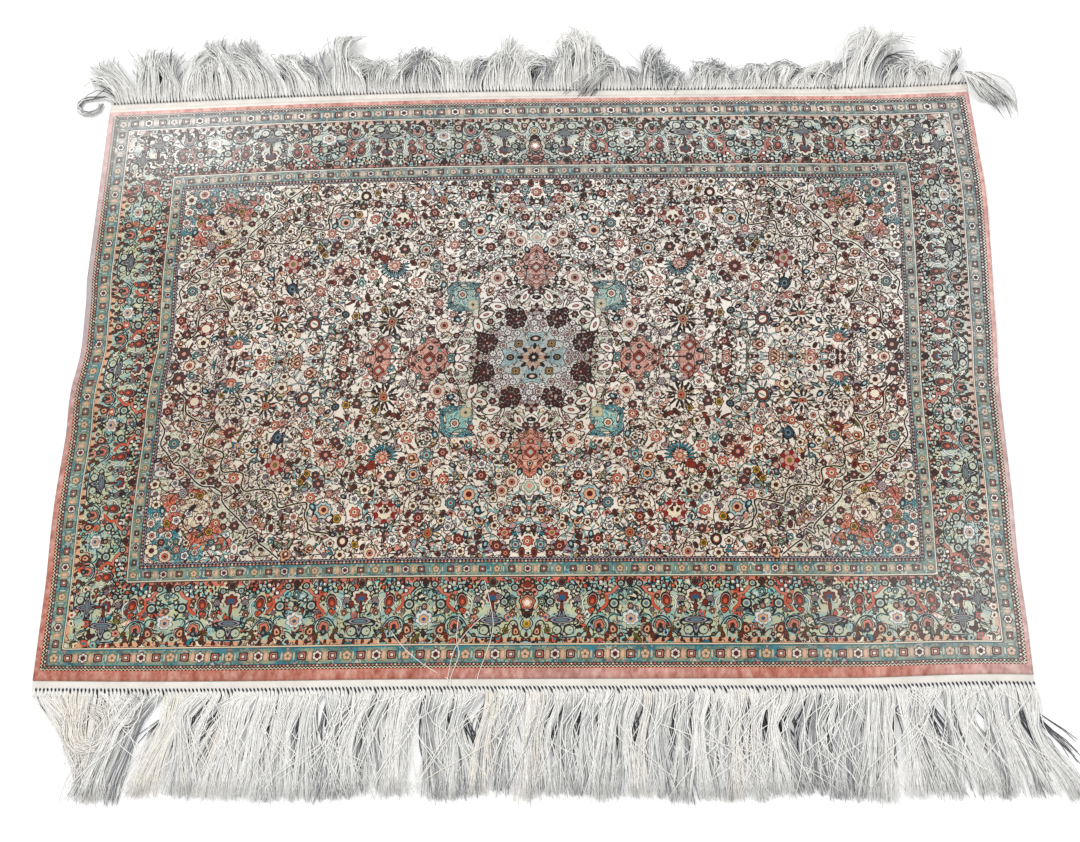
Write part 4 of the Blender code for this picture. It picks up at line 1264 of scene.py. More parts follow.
def pile_material():
    material, g, shader = new_material("knotted_silk_pile")
    silk = silk_group()
    flower, stem_nodes = flower_group(silk), stem_group(silk)
    where = g.run("ShaderNodeTexCoord")["Object"]
    lay, quarter = g.vector("lay"), g.vector("quarter")
    depth, along, from_back = g.split(lay)
    past_rim = g.above(depth, GUARDS[0][0])
    flower_bands = g.most(g.band(depth, *FLOWER_BANDS[0]), g.band(depth, *FLOWER_BANDS[1]))

    # The ground, band by band.
    colour = g.ramp(g.times(depth, 0.8), [(share * 0.8, name) for share, name in BAND_EDGES], "CONSTANT")
    # The two guards: a fine zigzag row, and a row of small coloured knots.
    for k, (low, high) in enumerate(GUARDS):
        middle = (low + high) / 2
        rows = [(low + 0.003, middle), (middle, high - 0.003)]
        swing = g.saw(along, 1 / KNOT_MM)
        row = g.times(g.subtract(depth, rows[k][0]), 2 / (high - low))
        away = g.size(g.subtract(row, g.times_add(swing, 1.3, 0.16)))
        here = g.band(depth, *rows[k])
        colour = g.mix(g.times(here, g.below(away, 0.17)), colour, "lilac" if k else "cream")
        here = g.band(depth, *rows[1 - k])
        colour = g.mix(here, colour, linear((64, 52, 52)))
        row = g.times(g.subtract(depth, rows[1 - k][0]), 2 / (high - low))
        spot = g.add(swing, g.size(g.subtract(row, 0.5)))
        pick = g.fract(g.times(g.floor(g.times(along, 1 / KNOT_MM)), 0.381))
        dots = g.ramp(pick, [(0.0, "pink"), (0.3, "sage"), (0.55, "cream"), (0.8, "salmon")], "CONSTANT")
        colour = g.mix(g.times(here, g.below(spot, 0.36)), colour, dots)
    # The flower bands' ground changes from teal to green and back, darker along both edges.
    for low, high in FLOWER_BANDS:
        here = g.band(depth, low, high)
        drift = g.noise(0.35, 2.0, 0.6, quarter)[0]
        colour = g.mix(g.times(here, g.ramp(drift, [(0.37, 0.0), (0.56, 1.0)])), colour, "sage")
        edge = g.size(g.subtract(depth, (low + high) / 2))
        colour = g.mix(g.times(here, g.above(edge, (high - low) * 0.455)), colour, "teal")
    # Peach along the main border's outer edge and salmon along its inner edge.
    for low, high, name in [(MAIN_OUT, MAIN_OUT + STRIP, "peach"), (MAIN_IN - STRIP, MAIN_IN, "salmon")]:
        colour = g.mix(g.band(depth, low, high), colour, name)
    # The rim, streaked, painted paler with the fade attribute and grey where it is highest: painted sheen.
    streak = g.noise(1.0, 4.0, 0.65, g.vector_math("MULTIPLY", lay, (7.0, 0.090, 0.0)))[0]
    rim = g.ramp(streak, [(0.30, (158, 78, 60)), (0.46, (198, 122, 102)), (0.68, (228, 176, 160))])
    sheen_pale_rim = g.ramp(streak, [(0.32, (172, 132, 126)), (0.50, (210, 170, 165)), (0.66, (228, 198, 193))])
    fade = g.value("fade")
    rim = g.mix(g.add(fade, 0.0, clamp=True), rim, sheen_pale_rim)
    rim = g.mix(g.subtract(fade, 1.0, clamp=True), rim, linear((190, 184, 186)))
    colour = g.mix(g.below(depth, GUARDS[0][0]), colour, rim)
    # The last rows of knots at the back are ivory, like the woven end.
    colour = g.mix(g.below(from_back, 0.038), colour, linear((226, 220, 212)))
    # The main border's ground, then the filigree of the flower bands, field and main border.
    glow = g.ramp(g.noise(0.55, 2.0, 0.5, quarter)[0],
                  [(0.38, (150, 186, 180)), (0.47, "pale_green"), (0.58, (206, 206, 168))])
    inner_ground = g.band(depth, MAIN_OUT + STRIP, MAIN_IN - STRIP)
    colour = g.mix(g.times(inner_ground, 0.75), colour, glow)
    from_middle = g.vector_math("LENGTH", quarter, output=1)
    past_star = g.above(from_middle, RING_CM)
    field_fill, border_fill = filigree_group(*FIELD_FILL), filigree_group(*BORDER_FILL)
    for share, fill in [
        (g.times(flower_bands, 0.50), border_fill),
        (g.times(g.above(depth, 1.0), past_star), field_fill),
        (g.band(depth, MAIN_OUT, MAIN_IN), border_fill),
    ]:
        colour = g.mix(share, colour, g.use(fill, Under=colour, Place=quarter))
    # The motifs and stems.
    plain = colour
    for name in ("under", "stem_b", "stem_a", "second", "first"):
        if name.startswith("stem"):
            away, form, edge = g.value(name + "_away"), g.vector(name + "_form"), g.value(name + "_edge")
            colour = g.use(stem_nodes, Under=colour, Away=away, Form=form, Edge=edge)
        else:
            given = {key: g.vector(f"{name}_{key.lower()}") for key in ("Place", "Form", "Inner", "Silks")}
            colour = g.use(flower, Under=colour, Line=g.value(name + "_line"), **given)
        if name == "under":
            # Fine drawing inside the large forms, over the star as over the rest but lighter.
            swing = g.saw(g.noise(1.5, 1.0, 0.5, quarter)[0], 6.0)
            fine_line = g.times(g.below(swing, 0.13), g.above(from_middle, STAR_CM))
            laced = g.mix(g.times(fine_line, 0.62), colour, "brown")
            pale_line = g.times(g.above(swing, 0.41), past_star)
            laced = g.mix(g.times(pale_line, 0.55), laced, "cream")
            covered = g.above(g.vector_math("DISTANCE", plain, colour, output=1), 0.0001)
            colour = g.mix(covered, colour, laced)
    # Uneven dye and knots, then broad patches of painted sheen and painted shade, standing in for where the
    # pile lies differently.
    knots = g.noise(900.0, 2.0, 0.6, where)[0]
    colour = g.mix(1.0, colour, g.ramp(knots, [(0.30, 0.61), (0.70, 0.84)]), "MULTIPLY")
    drift = g.noise(13.0, 3.0, 0.60, where)[0]
    colour = g.mix(1.0, colour, g.ramp(drift, [(0.32, 0.87), (0.68, 1.10)]), "MULTIPLY")
    rich = g.new("ShaderNodeHueSaturation")
    rich.inputs["Saturation"].default_value = 1.24
    g.put(rich.inputs["Fac"], g.subtract(past_rim, flower_bands))
    g.put(rich.inputs["Color"], colour)
    colour = rich.outputs[0]
    # Painted sheen and painted shade: greyer, lighter or darker, and a pale haze added, by place on the sheet.
    gain, haze, grey = g.split(g.vector("painted_sheen_and_shade"))
    colour = g.mix(g.times(grey, past_rim), colour, g.run("ShaderNodeRGBToBW", colour)[0])
    colour = g.mix(1.0, colour, g.add(gain, 1.0), "MULTIPLY")
    haze = g.times(haze, g.times_add(past_rim, 0.6, 0.4))
    colour = g.mix(haze, colour, (0.215, 0.205, 0.195), "ADD")
    g.put(shader.inputs["Base Color"], colour)
    shader.inputs["Roughness"].default_value = 0.60
    shader.inputs["Specular IOR Level"].default_value = 0.20
    shader.inputs["Sheen Weight"].default_value = 0.07
    shader.inputs["Sheen Roughness"].default_value = 0.45
    g.bump(shader, g.noise(1400.0, 3.0, 0.6, where)[0], 0.35, 0.0006)
    return material


rug = build_rug()
rug.data.materials.append(pile_material())
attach(rug, "root")
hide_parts("knotted_sheet")

# ---------------------------------------------------------------- the woven bands and loose warps
BUNDLES = 255  # knotted groups of warps along each end
THREADS = 17  # loose warps from each group, at the front
THREAD_RADIUS = 0.00058
FRINGE_LENGTH = 0.137
SHADE_SHARE = 0.17  # the lowest warps, painted dark as the shade beneath the others
ROOT_OUT = JOINT_GAP + BAND_WIDTH - 0.004  # where the warps leave the band, out from the sheet's end
LEAN_RUN = 0.009  # the length over which a warp leans as it leaves
LOWEST = 0.0009  # height of the lowest warps
LOCK_SIZES = (2, 7)  # bundles in a lock

# How the front warps fall: at a place along the rug, how far they swing sideways near the band
# (sweep) and at their tips (drift), and how they lean where they leave it.
FRONT_FALL = rows_of(
    "at sweep drift lean",
    (-0.608, 0.03, 0.066, -0.1),
    (-0.585, 0.026, 0.052, 0),
    (-0.555, 0.012, 0.036, 0),
    (-0.52, -0.01, 0.01, 0.2),
    (-0.485, -0.026, -0.046, 0.5),
    (-0.445, -0.028, -0.044, 0.6),
    (-0.405, -0.026, -0.022, 0.6),
    (-0.3, -0.02, -0.014, 0.6),
    (-0.15, -0.02, -0.014, 0.7),
    (0, -0.014, -0.006, 0.8),
    (0.15, -0.016, -0.01, 0.8),
    (0.3, -0.014, -0.008, 0.7),
    (0.42, -0.016, -0.004, 0.7),
    (0.48, -0.012, 0.008, 0.7),
    (0.53, -0.006, 0.022, 0.7),
    (0.608, 0.004, 0.046, 0.6),
)
# Curled hanks near the front left corner: middle, size, and which roots feed them, with what share.
CURLS = rows_of(
    "x y size low high share",
    (-0.53, -0.472, 0.027, -0.606, -0.53, 0.62),
    (-0.487, -0.452, 0.015, -0.528, -0.5, 0.75),
)
# The crumpled back warps: tip's sideways lean, reach behind the band, height and tangle.
BACK_TUFTS = rows_of(
    "at lean reach rise tangle",
    (-0.61, -0.042, 0.046, 0.022, 0.3),
    (-0.59, -0.038, 0.06, 0.026, 0.2),
    (-0.565, -0.028, 0.076, 0.026, 0.1),
    (-0.54, -0.01, 0.09, 0.026, 0.1),
    (-0.5, -0.002, 0.094, 0.026, 0.1),
    (-0.456, -0.004, 0.078, 0.024, 0.3),
    (-0.42, -0.024, 0.084, 0.024, 0.3),
    (-0.37, -0.032, 0.098, 0.026, 0.1),
    (-0.335, -0.03, 0.07, 0.022, 0.5),
    (-0.302, -0.014, 0.06, 0.024, 0.9),
    (-0.27, -0.016, 0.092, 0.024, 0.1),
    (-0.225, 0.006, 0.056, 0.022, 0.5),
    (-0.18, 0.006, 0.06, 0.024, 0.7),
    (-0.13, -0.006, 0.064, 0.024, 0.5),
    (-0.08, 0.008, 0.058, 0.022, 0.6),
    (-0.05, 0.01, 0.084, 0.026, 0.4),
    (-0.006, 0.014, 0.056, 0.02, 0.7),
    (0.04, 0.012, 0.086, 0.028, 0.9),
    (0.076, 0.006, 0.098, 0.03, 0.9),
    (0.104, -0.006, 0.07, 0.026, 0.8),
    (0.134, -0.012, 0.04, 0.018, 0.3),
    (0.175, 0.008, 0.06, 0.022, 0.6),
    (0.21, 0.01, 0.036, 0.016, 0.3),
    (0.24, 0.004, 0.048, 0.018, 0.7),
    (0.3, 0.012, 0.038, 0.018, 0.3),
    (0.38, 0.012, 0.038, 0.018, 0.2),
    (0.425, 0.018, 0.042, 0.018, 0.1),
    (0.442, 0.044, 0.098, 0.028, 0),
    (0.474, 0.04, 0.092, 0.026, 0.1),
    (0.492, 0.012, 0.036, 0.018, 0.2),
    (0.54, 0.01, 0.036, 0.016, 0.2),
    (0.562, -0.004, 0.052, 0.02, 0.1),
    (0.586, 0.02, 0.056, 0.02, 0.1),
    (0.61, 0.04, 0.026, 0.014, 0.3),
)


def ease(value, low, high):
    """0 below low, 1 above high, and a smooth rise between them."""
    share = np.clip((value - low) / (high - low), 0, 1)
    return share * share * (3 - 2 * share)


def ease_each(value, low, high):
    """The same with limits of its own for each row of values."""
    low, high = np.broadcast_arrays(low, high)
    return ease(value, low[:, None], high[:, None])


def from_table(rows, at, column):
    """A table's column, eased between its rows, for an array of places."""
    places = np.array([row["at"] for row in rows])
    values = np.array([row[column] for row in rows])
    k = np.clip(np.searchsorted(places, at) - 1, 0, len(rows) - 2)
    return values[k] + (values[k + 1] - values[k]) * ease(at, places[k], places[k + 1])


def band_edge(x, outward, out):
    """The plan place of a point this far out from the sheet's end."""
    u = np.clip(x / SHEET_WIDTH + 0.5, 0, 1)
    px, py = sheet_place(u, np.full_like(u, 0.0 if outward < 0 else 1.0))
    return px, py + outward * out


def smooth_random(rng, count, width):
    """Random numbers along the rug that change slowly, about -1 to 1."""
    raw = rng.normal(0, 1, count + 6 * width)
    kernel = np.exp(-(np.linspace(-2.5, 2.5, 6 * width + 1) ** 2))
    values = np.convolve(raw, kernel, "valid")
    return values / max(1e-9, np.abs(values).std()) * 0.5


def thread_mesh(name, paths, radii, tone):
    """Three-sided closed strands along paths (threads, points, 3)."""
    count, points, _ = paths.shape
    travel = np.gradient(paths, axis=1)
    travel /= np.maximum(1e-9, np.linalg.norm(travel, axis=2, keepdims=True))
    up = np.array([0.0, 0.0, 1.0])
    side = np.cross(travel, up)
    length = np.linalg.norm(side, axis=2, keepdims=True)
    side = np.where(length < 0.15, np.array([1.0, 0.0, 0.0]), side / np.maximum(1e-9, length))
    rise = np.cross(side, travel)
    rings = []
    for angle in (30, 150, 270):
        c, s = math.cos(math.radians(angle)), math.sin(math.radians(angle))
        rings.append(paths + radii[..., None] * (c * side + s * rise))
    rings = np.stack(rings, 2)
    index = np.arange(count * points * 3).reshape(count, points, 3)
    quads = []
    for a in range(3):
        b = (a + 1) % 3
        quads.append(np.stack([index[:, :-1, a], index[:, 1:, a], index[:, 1:, b], index[:, :-1, b]], -1))
    quads = np.stack(quads, 2).reshape(-1, 4)
    caps = np.concatenate([index[:, 0, :], index[:, -1, ::-1]])
    mesh = bpy.data.meshes.new(name)
    mesh.vertices.add(rings.size // 3)
    mesh.vertices.foreach_set("co", rings.astype(np.float32).ravel())
    loops = np.concatenate([quads.ravel(), caps.ravel()])
    mesh.loops.add(len(loops))
    mesh.loops.foreach_set("vertex_index", loops.astype(np.int32))
    starts = np.concatenate([np.arange(len(quads)) * 4, len(quads) * 4 + np.arange(len(caps)) * 3])
    mesh.polygons.add(len(starts))
    mesh.polygons.foreach_set("loop_start", starts.astype(np.int32))
    mesh.update(calc_edges=True)
    mesh.validate()
    mesh.polygons.foreach_set("use_smooth", np.ones(len(mesh.polygons), bool))
    shade = mesh.attributes.new("tone", "FLOAT", "POINT")
    along = tone if tone.ndim == 2 else np.repeat(tone[:, None], points, 1)
    tone = along.mean(1)
    shade.data.foreach_set("value", np.repeat(along.ravel(), 3).astype(np.float32))
    # For baking, threads lie side by side in the order of their tone.
    place = np.empty(count)
    place[np.argsort(tone, kind="stable")] = (np.arange(count) + 0.5) / count
    layer = mesh.uv_layers.new(name="OFBake")
    vertex = np.empty(len(mesh.loops), np.int32)
    mesh.loops.foreach_get("vertex_index", vertex)
    thread, rest = np.divmod(vertex, points * 3)
    step, corner = np.divmod(rest, 3)
    uv = np.stack([place[thread] + (corner - 1) * 0.4 / count, 0.01 + 0.98 * step / (points - 1)], -1)
    layer.data.foreach_set("uv", np.clip(uv, 0, 1).astype(np.float32).ravel())
    return add_object(name, mesh)


def resample(points, count):
    """count points evenly along a rounded line through the points."""
    line = smooth_line(points, 0.004)
    run = np.concatenate([[0], np.cumsum(np.linalg.norm(np.diff(line, axis=0), axis=1))])
    wanted = np.linspace(0, run[-1], count)
    return np.stack([np.interp(wanted, run, line[:, k]) for k in range(3)], -1)


ROOTS = (np.arange(BUNDLES) + 0.5) / BUNDLES * (SHEET_WIDTH - 0.004) - (SHEET_WIDTH - 0.004) / 2
BUNDLE = np.repeat(np.arange(BUNDLES), THREADS)  # each warp's bundle
WARPS = len(BUNDLE)


def gather(rng, low, high):
    """Neighbouring bundles cling together in locks: each bundle's lock, and every lock's middle."""
    sizes = rng.integers(low, high + 1, BUNDLES)
    lock = np.repeat(np.arange(BUNDLES), sizes)[:BUNDLES]
    return lock, np.bincount(lock, ROOTS) / np.bincount(lock)


def plies(rng, painted_shade_warps):
    """A bundle's warps lie in four plies: place across, and each ply's level, tone and skew."""
    place = rng.uniform(-1, 1, WARPS)
    ply = np.minimum(3, ((place + 1) * 2).astype(int))
    middle = ply * 0.5 - 0.75
    close = np.where(painted_shade_warps, 1.0, 0.42)
    across = (middle + (place - middle) * close) * np.where(painted_shade_warps, 0.0024, 0.0022)
    ply = BUNDLE * 4 + ply
    shared = rng.normal(0, 1, (2, BUNDLES * 4))
    return across, rng.random(BUNDLES * 4)[ply], shared[0][ply], shared[1][ply]


def front_paths(rng):
    steps = np.array([0, 0.022, 0.050, 0.10, 0.18, 0.28, 0.40, 0.53, 0.67, 0.83, 1.0])
    slow, _ = smooth_random(rng, BUNDLES, 5), smooth_random(rng, BUNDLES, 1)
    lift = np.abs(smooth_random(rng, BUNDLES, 4))
    lock, middles = gather(rng, *LOCK_SIZES)
    count_locks = len(middles)
    sway, swing = rng.normal(0, 0.0044, count_locks), rng.normal(0, 0.0070, count_locks)
    squeeze, lifted = rng.uniform(0.22, 0.80, count_locks), rng.random(count_locks)
    settle = rng.uniform(0.030, 0.095, count_locks)
    share = rng.normal(1.0, 0.018, count_locks)
    mine, x0, middle = lock[BUNDLE], ROOTS[BUNDLE], middles[lock[BUNDLE]]
    layer = rng.random(WARPS)
    s = steps[None, :] * FRINGE_LENGTH
    sweep = from_table(FRONT_FALL, middle, "sweep") * np.where(x0 < -0.46, 1.0, 0.70)
    sweep += 0.006 * slow[BUNDLE] + sway[mine] + rng.normal(0, 0.0013, WARPS)
    drift = from_table(FRONT_FALL, middle, "drift") + 0.006 * np.roll(slow, 9)[BUNDLE] + swing[mine]
    lean = from_table(FRONT_FALL, x0, "lean")
    stray = rng.random(WARPS) < 0.070
    sweep = np.where(stray, sweep + rng.normal(0, 0.020, WARPS), sweep)
    drift = np.where(stray, drift + rng.normal(0, 0.045, WARPS) * np.where(np.abs(x0) > 0.56, 0.15, 1.0), drift)
    # The lowest warps are painted dark, as the shade beneath the others.
    painted_shade_warps = (layer < SHADE_SHARE) & ~stray
    across, ply_level, ply_tone, ply_skew = plies(rng, painted_shade_warps)
    layer = np.where(stray, 1.25, 0.72 * ply_level + 0.28 * layer)
    skew = rng.normal(0, 1, WARPS) * np.where(rng.random(WARPS) < 0.22, 0.0120, 0.0012) + 0.0048 * ply_skew
    skew *= np.where(x0 > 0.57, 0.4, 1.0)
    late_curl = rng.normal(0, 0.0028, WARPS)
    wave = rng.uniform(0.0003, 0.0022, WARPS)[:, None] * np.sin(
        steps[None, :] * rng.uniform(6, 19, WARPS)[:, None] + rng.uniform(0, 6.28, WARPS)[:, None]
    ) * steps[None, :]
    narrow = 1 - (1 - squeeze[mine])[:, None] * (ease(s, 0.014, 0.055) - 1.10 * ease(s, 0.075, 0.140))
    narrow = np.where(painted_shade_warps[:, None], 1.0, narrow)
    spread = 0.62 + 0.38 * ease(s, 0.001, 0.012) + 0.8 * steps[None, :]
    x = (
        middle[:, None] + (x0 - middle)[:, None] * narrow + across[:, None] * spread
        + (lean * LEAN_RUN)[:, None] * (1 - np.exp(-s / LEAN_RUN))
        + sweep[:, None] * ease_each(s, 0.002, settle[mine])
        + (drift - sweep)[:, None] * ease_each(s, 0.6 * settle[mine], 0.145)
        + skew[:, None] * ease(s, 0.025, 0.150) + wave
        + late_curl[:, None] * ease(s, 0.105, 0.140)
    )
    length = np.where(rng.random(WARPS) < 0.20, rng.uniform(0.78, 0.97, WARPS), rng.normal(0.99, 0.022, WARPS))
    length *= share[mine] * (1 + 0.015 * slow[BUNDLE]) * np.where(painted_shade_warps, rng.uniform(0.50, 0.84, WARPS), 1.0)
    length *= np.where(painted_shade_warps & (x0 > -0.515) & (x0 < -0.425), 0.12, 1.0)
    ex, ey = band_edge(x0, -1, ROOT_OUT)
    y = ey[:, None] - s * length[:, None] * (1 - 0.06 * np.abs(sweep / 0.03))[:, None]
    x += (ex - x0)[:, None]
    body = (0.45 * layer + 0.55 * lifted[mine])[:, None] * (0.0044 + 0.0034 * lift[BUNDLE])[:, None]
    height = 0.0006 + body * ease(s, 0.0, 0.024) * (1 - 0.62 * ease(s, 0.05, 0.14))
    z = np.where(painted_shade_warps[:, None], 0.0008, height + 0.0005)
    z[:, 0] = 0.0012
    z[:, 1] = np.where(painted_shade_warps, 0.0008, 0.0020)
    paths = np.stack([x, y, z], -1)
    for curl in CURLS:
        chosen = (x0 > curl["low"]) & (x0 < curl["high"]) & (rng.random(WARPS) < curl["share"]) & ~painted_shade_warps
        for k in np.nonzero(chosen)[0]:
            along = (x0[k] - curl["low"]) / (curl["high"] - curl["low"])
            size = curl["size"] * (1.08 - 0.55 * along + rng.normal(0, 0.10))
            turn = rng.uniform(130, 290)
            level = 0.0015 + 0.006 * layer[k]
            off_x, off_y = rng.normal(0, 0.0035, 2)
            points = [paths[k, 0], paths[k, 2]]
            for angle in np.linspace(170, 170 + turn, 7):
                a = math.radians(angle)
                px = curl["x"] + off_x + size * math.cos(a) * (1.05 if size < 0.02 else 1.0)
                py = curl["y"] + off_y + size * 1.20 * math.sin(a) + rng.normal(0, 0.0006)
                points.append((px, py, level + 0.002 * math.sin(a)))
            paths[k] = resample(points, len(steps))
    paths[..., 2] = np.maximum(paths[..., 2], LOWEST)
    # Tone: random by warp, ply and place, plus painted light: a lock that lies higher is lighter. The lowest
    # warps are painted dark as shade.
    tone = rng.normal(-0.40, 0.60, WARPS) + 0.65 * ply_tone + 0.3 * slow[BUNDLE] + 1.0 * (lifted[mine] - 0.5)
    tone = np.where(painted_shade_warps, -3.5 + 0.8 * rng.random(WARPS), np.clip(tone, -2.1, 1))
    tone = np.where(stray, 0.9, tone)
    # Warm ivory warps: most near the left corner, and some in a tenth of the locks.
    warm = rng.random(WARPS) < 0.75 * bump_of((x0 + 0.565) / 0.075)
    warm |= (rng.random(count_locks)[mine] < 0.10) & (rng.random(WARPS) < 0.6)
    tone = np.where(warm & ~painted_shade_warps, 1.2 + 0.6 * rng.random(WARPS), tone)[:, None]
    # Painted light along each warp: lighter near the band, darker further out.
    painted_light_tone = np.minimum(1.0, tone + 0.8 * (1 - ease(s, 0.006, 0.034)) - 0.25 * ease(s, 0.05, 0.12))
    return paths, np.where((tone < -2.5) | (tone > 1.1), tone, painted_light_tone)


def back_paths(rng):
    steps = np.array([0, 0.03, 0.07, 0.14, 0.24, 0.36, 0.48, 0.60, 0.72, 0.86, 1.0])
    slow, quick = smooth_random(rng, BUNDLES, 3), smooth_random(rng, BUNDLES, 1)
    lock, middles = gather(rng, *LOCK_SIZES)
    count_locks = len(middles)
    sway, stretch = rng.normal(0, 0.0105, count_locks), rng.normal(1.0, 0.16, count_locks)
    squeeze, lifted = rng.uniform(0.25, 0.85, count_locks), rng.random(count_locks)
    hook = rng.normal(0, 0.014, count_locks)
    mine, x0, middle = lock[BUNDLE], ROOTS[BUNDLE], middles[lock[BUNDLE]]
    layer = rng.random(WARPS)
    # The lowest warps are painted dark, as the shade beneath the others.
    painted_shade_warps = layer < SHADE_SHARE
    reach = from_table(BACK_TUFTS, x0, "reach") * (stretch[mine] + rng.normal(0, 0.07, WARPS))
    reach = np.minimum(reach, 0.108) * np.where(painted_shade_warps, 0.7, 1.0)
    lean = from_table(BACK_TUFTS, middle, "lean") + sway[mine] + 0.003 * quick[BUNDLE]
    across, ply_level, ply_tone, ply_skew = plies(rng, painted_shade_warps)
    layer = 0.72 * ply_level + 0.28 * layer
    skew = rng.normal(0, 1, WARPS) * np.where(rng.random(WARPS) < 0.20, 0.014, 0.0012) + 0.0062 * ply_skew
    rise = from_table(BACK_TUFTS, x0, "rise")
    tangle = from_table(BACK_TUFTS, x0, "tangle")
    t = steps[None, :]
    start_lean = np.where(x0 > 0.1, 0.0016, -0.0012) + 0.0008 * slow[BUNDLE]
    narrow = 1 - (1 - squeeze[mine])[:, None] * (ease(t, 0.15, 0.50) - 0.9 * ease(t, 0.60, 1.0))
    spread = 0.62 + 0.38 * ease(t, 0.01, 0.12) + 1.6 * t
    x = middle[:, None] + (x0 - middle)[:, None] * narrow + across[:, None] * spread
    x = x + start_lean[:, None] * ease(t, 0, 0.1) + lean[:, None] * ease(t, 0.10, 1.0)
    x = x + skew[:, None] * ease(t, 0.25, 1.0) + hook[mine][:, None] * ease(t, 0.55, 1.0)
    ex, ey = band_edge(x0, 1, ROOT_OUT)
    y = ey[:, None] + reach[:, None] * t ** 0.95 - (0.9 * np.abs(hook[mine]))[:, None] * ease(t, 0.70, 1.0)
    arch = np.sin(np.pi * (t * 0.92)) ** 0.8
    z = 0.0018 + (rise * (0.20 + 0.40 * layer + 0.40 * lifted[mine]))[:, None] * arch
    z = np.where(painted_shade_warps[:, None], 0.0006 + 0.30 * (z - LOWEST), z)
    # Tangled ends curl over.
    loose = rng.random(WARPS) < tangle
    phase, size = rng.uniform(0, 6.28, WARPS), rng.uniform(0.003, 0.010, WARPS) * loose
    swing = rng.choice([-1.0, 1.0], WARPS) * rng.uniform(2.5, 6.5, WARPS)
    late = ease(t, 0.35, 1.0)
    x = x + size[:, None] * late * np.cos(phase[:, None] + swing[:, None] * t * 1.2)
    y = y + size[:, None] * late * np.sin(phase[:, None] + swing[:, None] * t * 1.2)
    z = z + (size * 0.5)[:, None] * late * (1 + np.sin(phase[:, None] * 2 + swing[:, None] * t))
    wave = rng.uniform(0.0002, 0.0011, WARPS)[:, None]
    wave = wave * np.sin(t * rng.uniform(6, 16, WARPS)[:, None] + phase[:, None]) * t
    x = x + wave + (ex - x0)[:, None]
    paths = np.stack([x, y, np.maximum(z, LOWEST)], -1)
    # The last warps at the right corner fall forwards, round the corner.
    for k in np.nonzero(x0 > 0.586)[0]:
        along = (x0[k] - 0.586) / 0.024
        out = 0.030 + 0.040 * rng.random()
        points = [paths[k, 0], paths[k, 1], (x0[k] + 0.016 + 0.01 * rng.random(), ey[k] + 0.016, 0.010),
                  (x0[k] + out, ey[k] - 0.004 - 0.020 * rng.random(), 0.006 + 0.004 * rng.random()),
                  (min(0.680, x0[k] + out + 0.018), ey[k] - 0.030 - 0.034 * rng.random() * along, 0.0012)]
        paths[k] = resample(points, len(steps))
    # The first ones at the left corner make a small loop beside the rug.
    for k in np.nonzero(x0 < -0.598)[0]:
        size = 0.011 + 0.006 * rng.random()
        points = [paths[k, 0], paths[k, 1], (x0[k] - 0.010, ey[k] + 0.010, 0.006)]
        for angle in np.linspace(70, 70 + 300, 6):
            a = math.radians(angle)
            px, py = -0.640 + size * math.cos(a) * 1.25, ey[k] - 0.002 + size * math.sin(a)
            points.append((px, py, 0.002 + 0.004 * rng.random()))
        paths[k] = resample(points, len(steps))
    # Tone: random by warp, ply and place, plus painted light: a lock that lies higher is lighter. The lowest
    # warps are painted dark as shade.
    tone = rng.normal(-0.42, 0.60, WARPS) + 0.70 * ply_tone + 0.3 * slow[BUNDLE] + 1.3 * (lifted[mine] - 0.6)
    tone = np.where(painted_shade_warps, -3.5 + 0.8 * rng.random(WARPS), np.clip(tone, -2.1, 1))[:, None]
    # Painted light along each warp: lighter near the band, darker at the tops of the tufts.
    painted_light_tone = np.minimum(1.0, tone + 0.9 * (1 - ease(t, 0.10, 0.42)) - 0.35 * ease(t, 0.45, 0.90))
    return paths, np.where(tone < -2.5, tone, painted_light_tone)


def thread_material():
    material, g, shader = new_material("loose_silk_warps")
    where = g.run("ShaderNodeTexCoord")["Object"]
    place = g.times_add(g.value("tone"), 0.18, 0.60, clamp=True)
    colour = g.ramp(place, [  # from painted shade to white, then warm ivory
        (0.0, (30, 31, 35)), (0.06, (60, 62, 70)), (0.14, (104, 106, 112)), (0.30, (176, 177, 179)),
        (0.45, (228, 228, 225)), (0.60, (248, 247, 243)), (0.78, (255, 254, 250)), (0.80, (252, 249, 241)),
        (0.94, (245, 238, 225)),
    ])
    twist = g.noise(260.0, 2.0, 0.5, where)[0]
    shade = g.ramp(twist, [(0.30, 0.86), (0.66, 1.0)])
    g.put(shader.inputs["Base Color"], g.mix(1.0, colour, shade, "MULTIPLY"))
    shader.inputs["Roughness"].default_value = 0.55
    shader.inputs["Specular IOR Level"].default_value = 0.3
    shader.inputs["Sheen Weight"].default_value = 0.15
    return material


def band_material():
    material, g, shader = new_material("plain_woven_end")
    where = g.run("ShaderNodeTexCoord")["Object"]
    x, y, _ = g.split(where)
    warp = g.math("SINE", g.times(x, 2 * math.pi / 0.0016))
    weft = g.math("SINE", g.times(y, 2 * math.pi / 0.0011))
    weave = g.times(warp, weft)
    blotch = g.noise(38.0, 3.0, 0.6, where)[0]
    colour = g.ramp(blotch, [(0.30, (216, 210, 201)), (0.70, (234, 230, 223))])
    shade = g.ramp(g.times_add(weave, 0.5, 0.5), [(0.0, 0.90), (1.0, 1.0)])
    g.put(shader.inputs["Base Color"], g.mix(1.0, colour, shade, "MULTIPLY"))
    g.bump(shader, weave, 0.4, 0.0003)
    shader.inputs["Roughness"].default_value = 0.7
    return material


BAND_SECTION = [  # out from the sheet, height
    (0.0, 0.0), (0.0, 0.0012), (0.0012, 0.0017), (0.006, 0.0018), (0.0105, 0.0017), (0.0118, 0.0012),
    (BAND_WIDTH, 0.0),
]


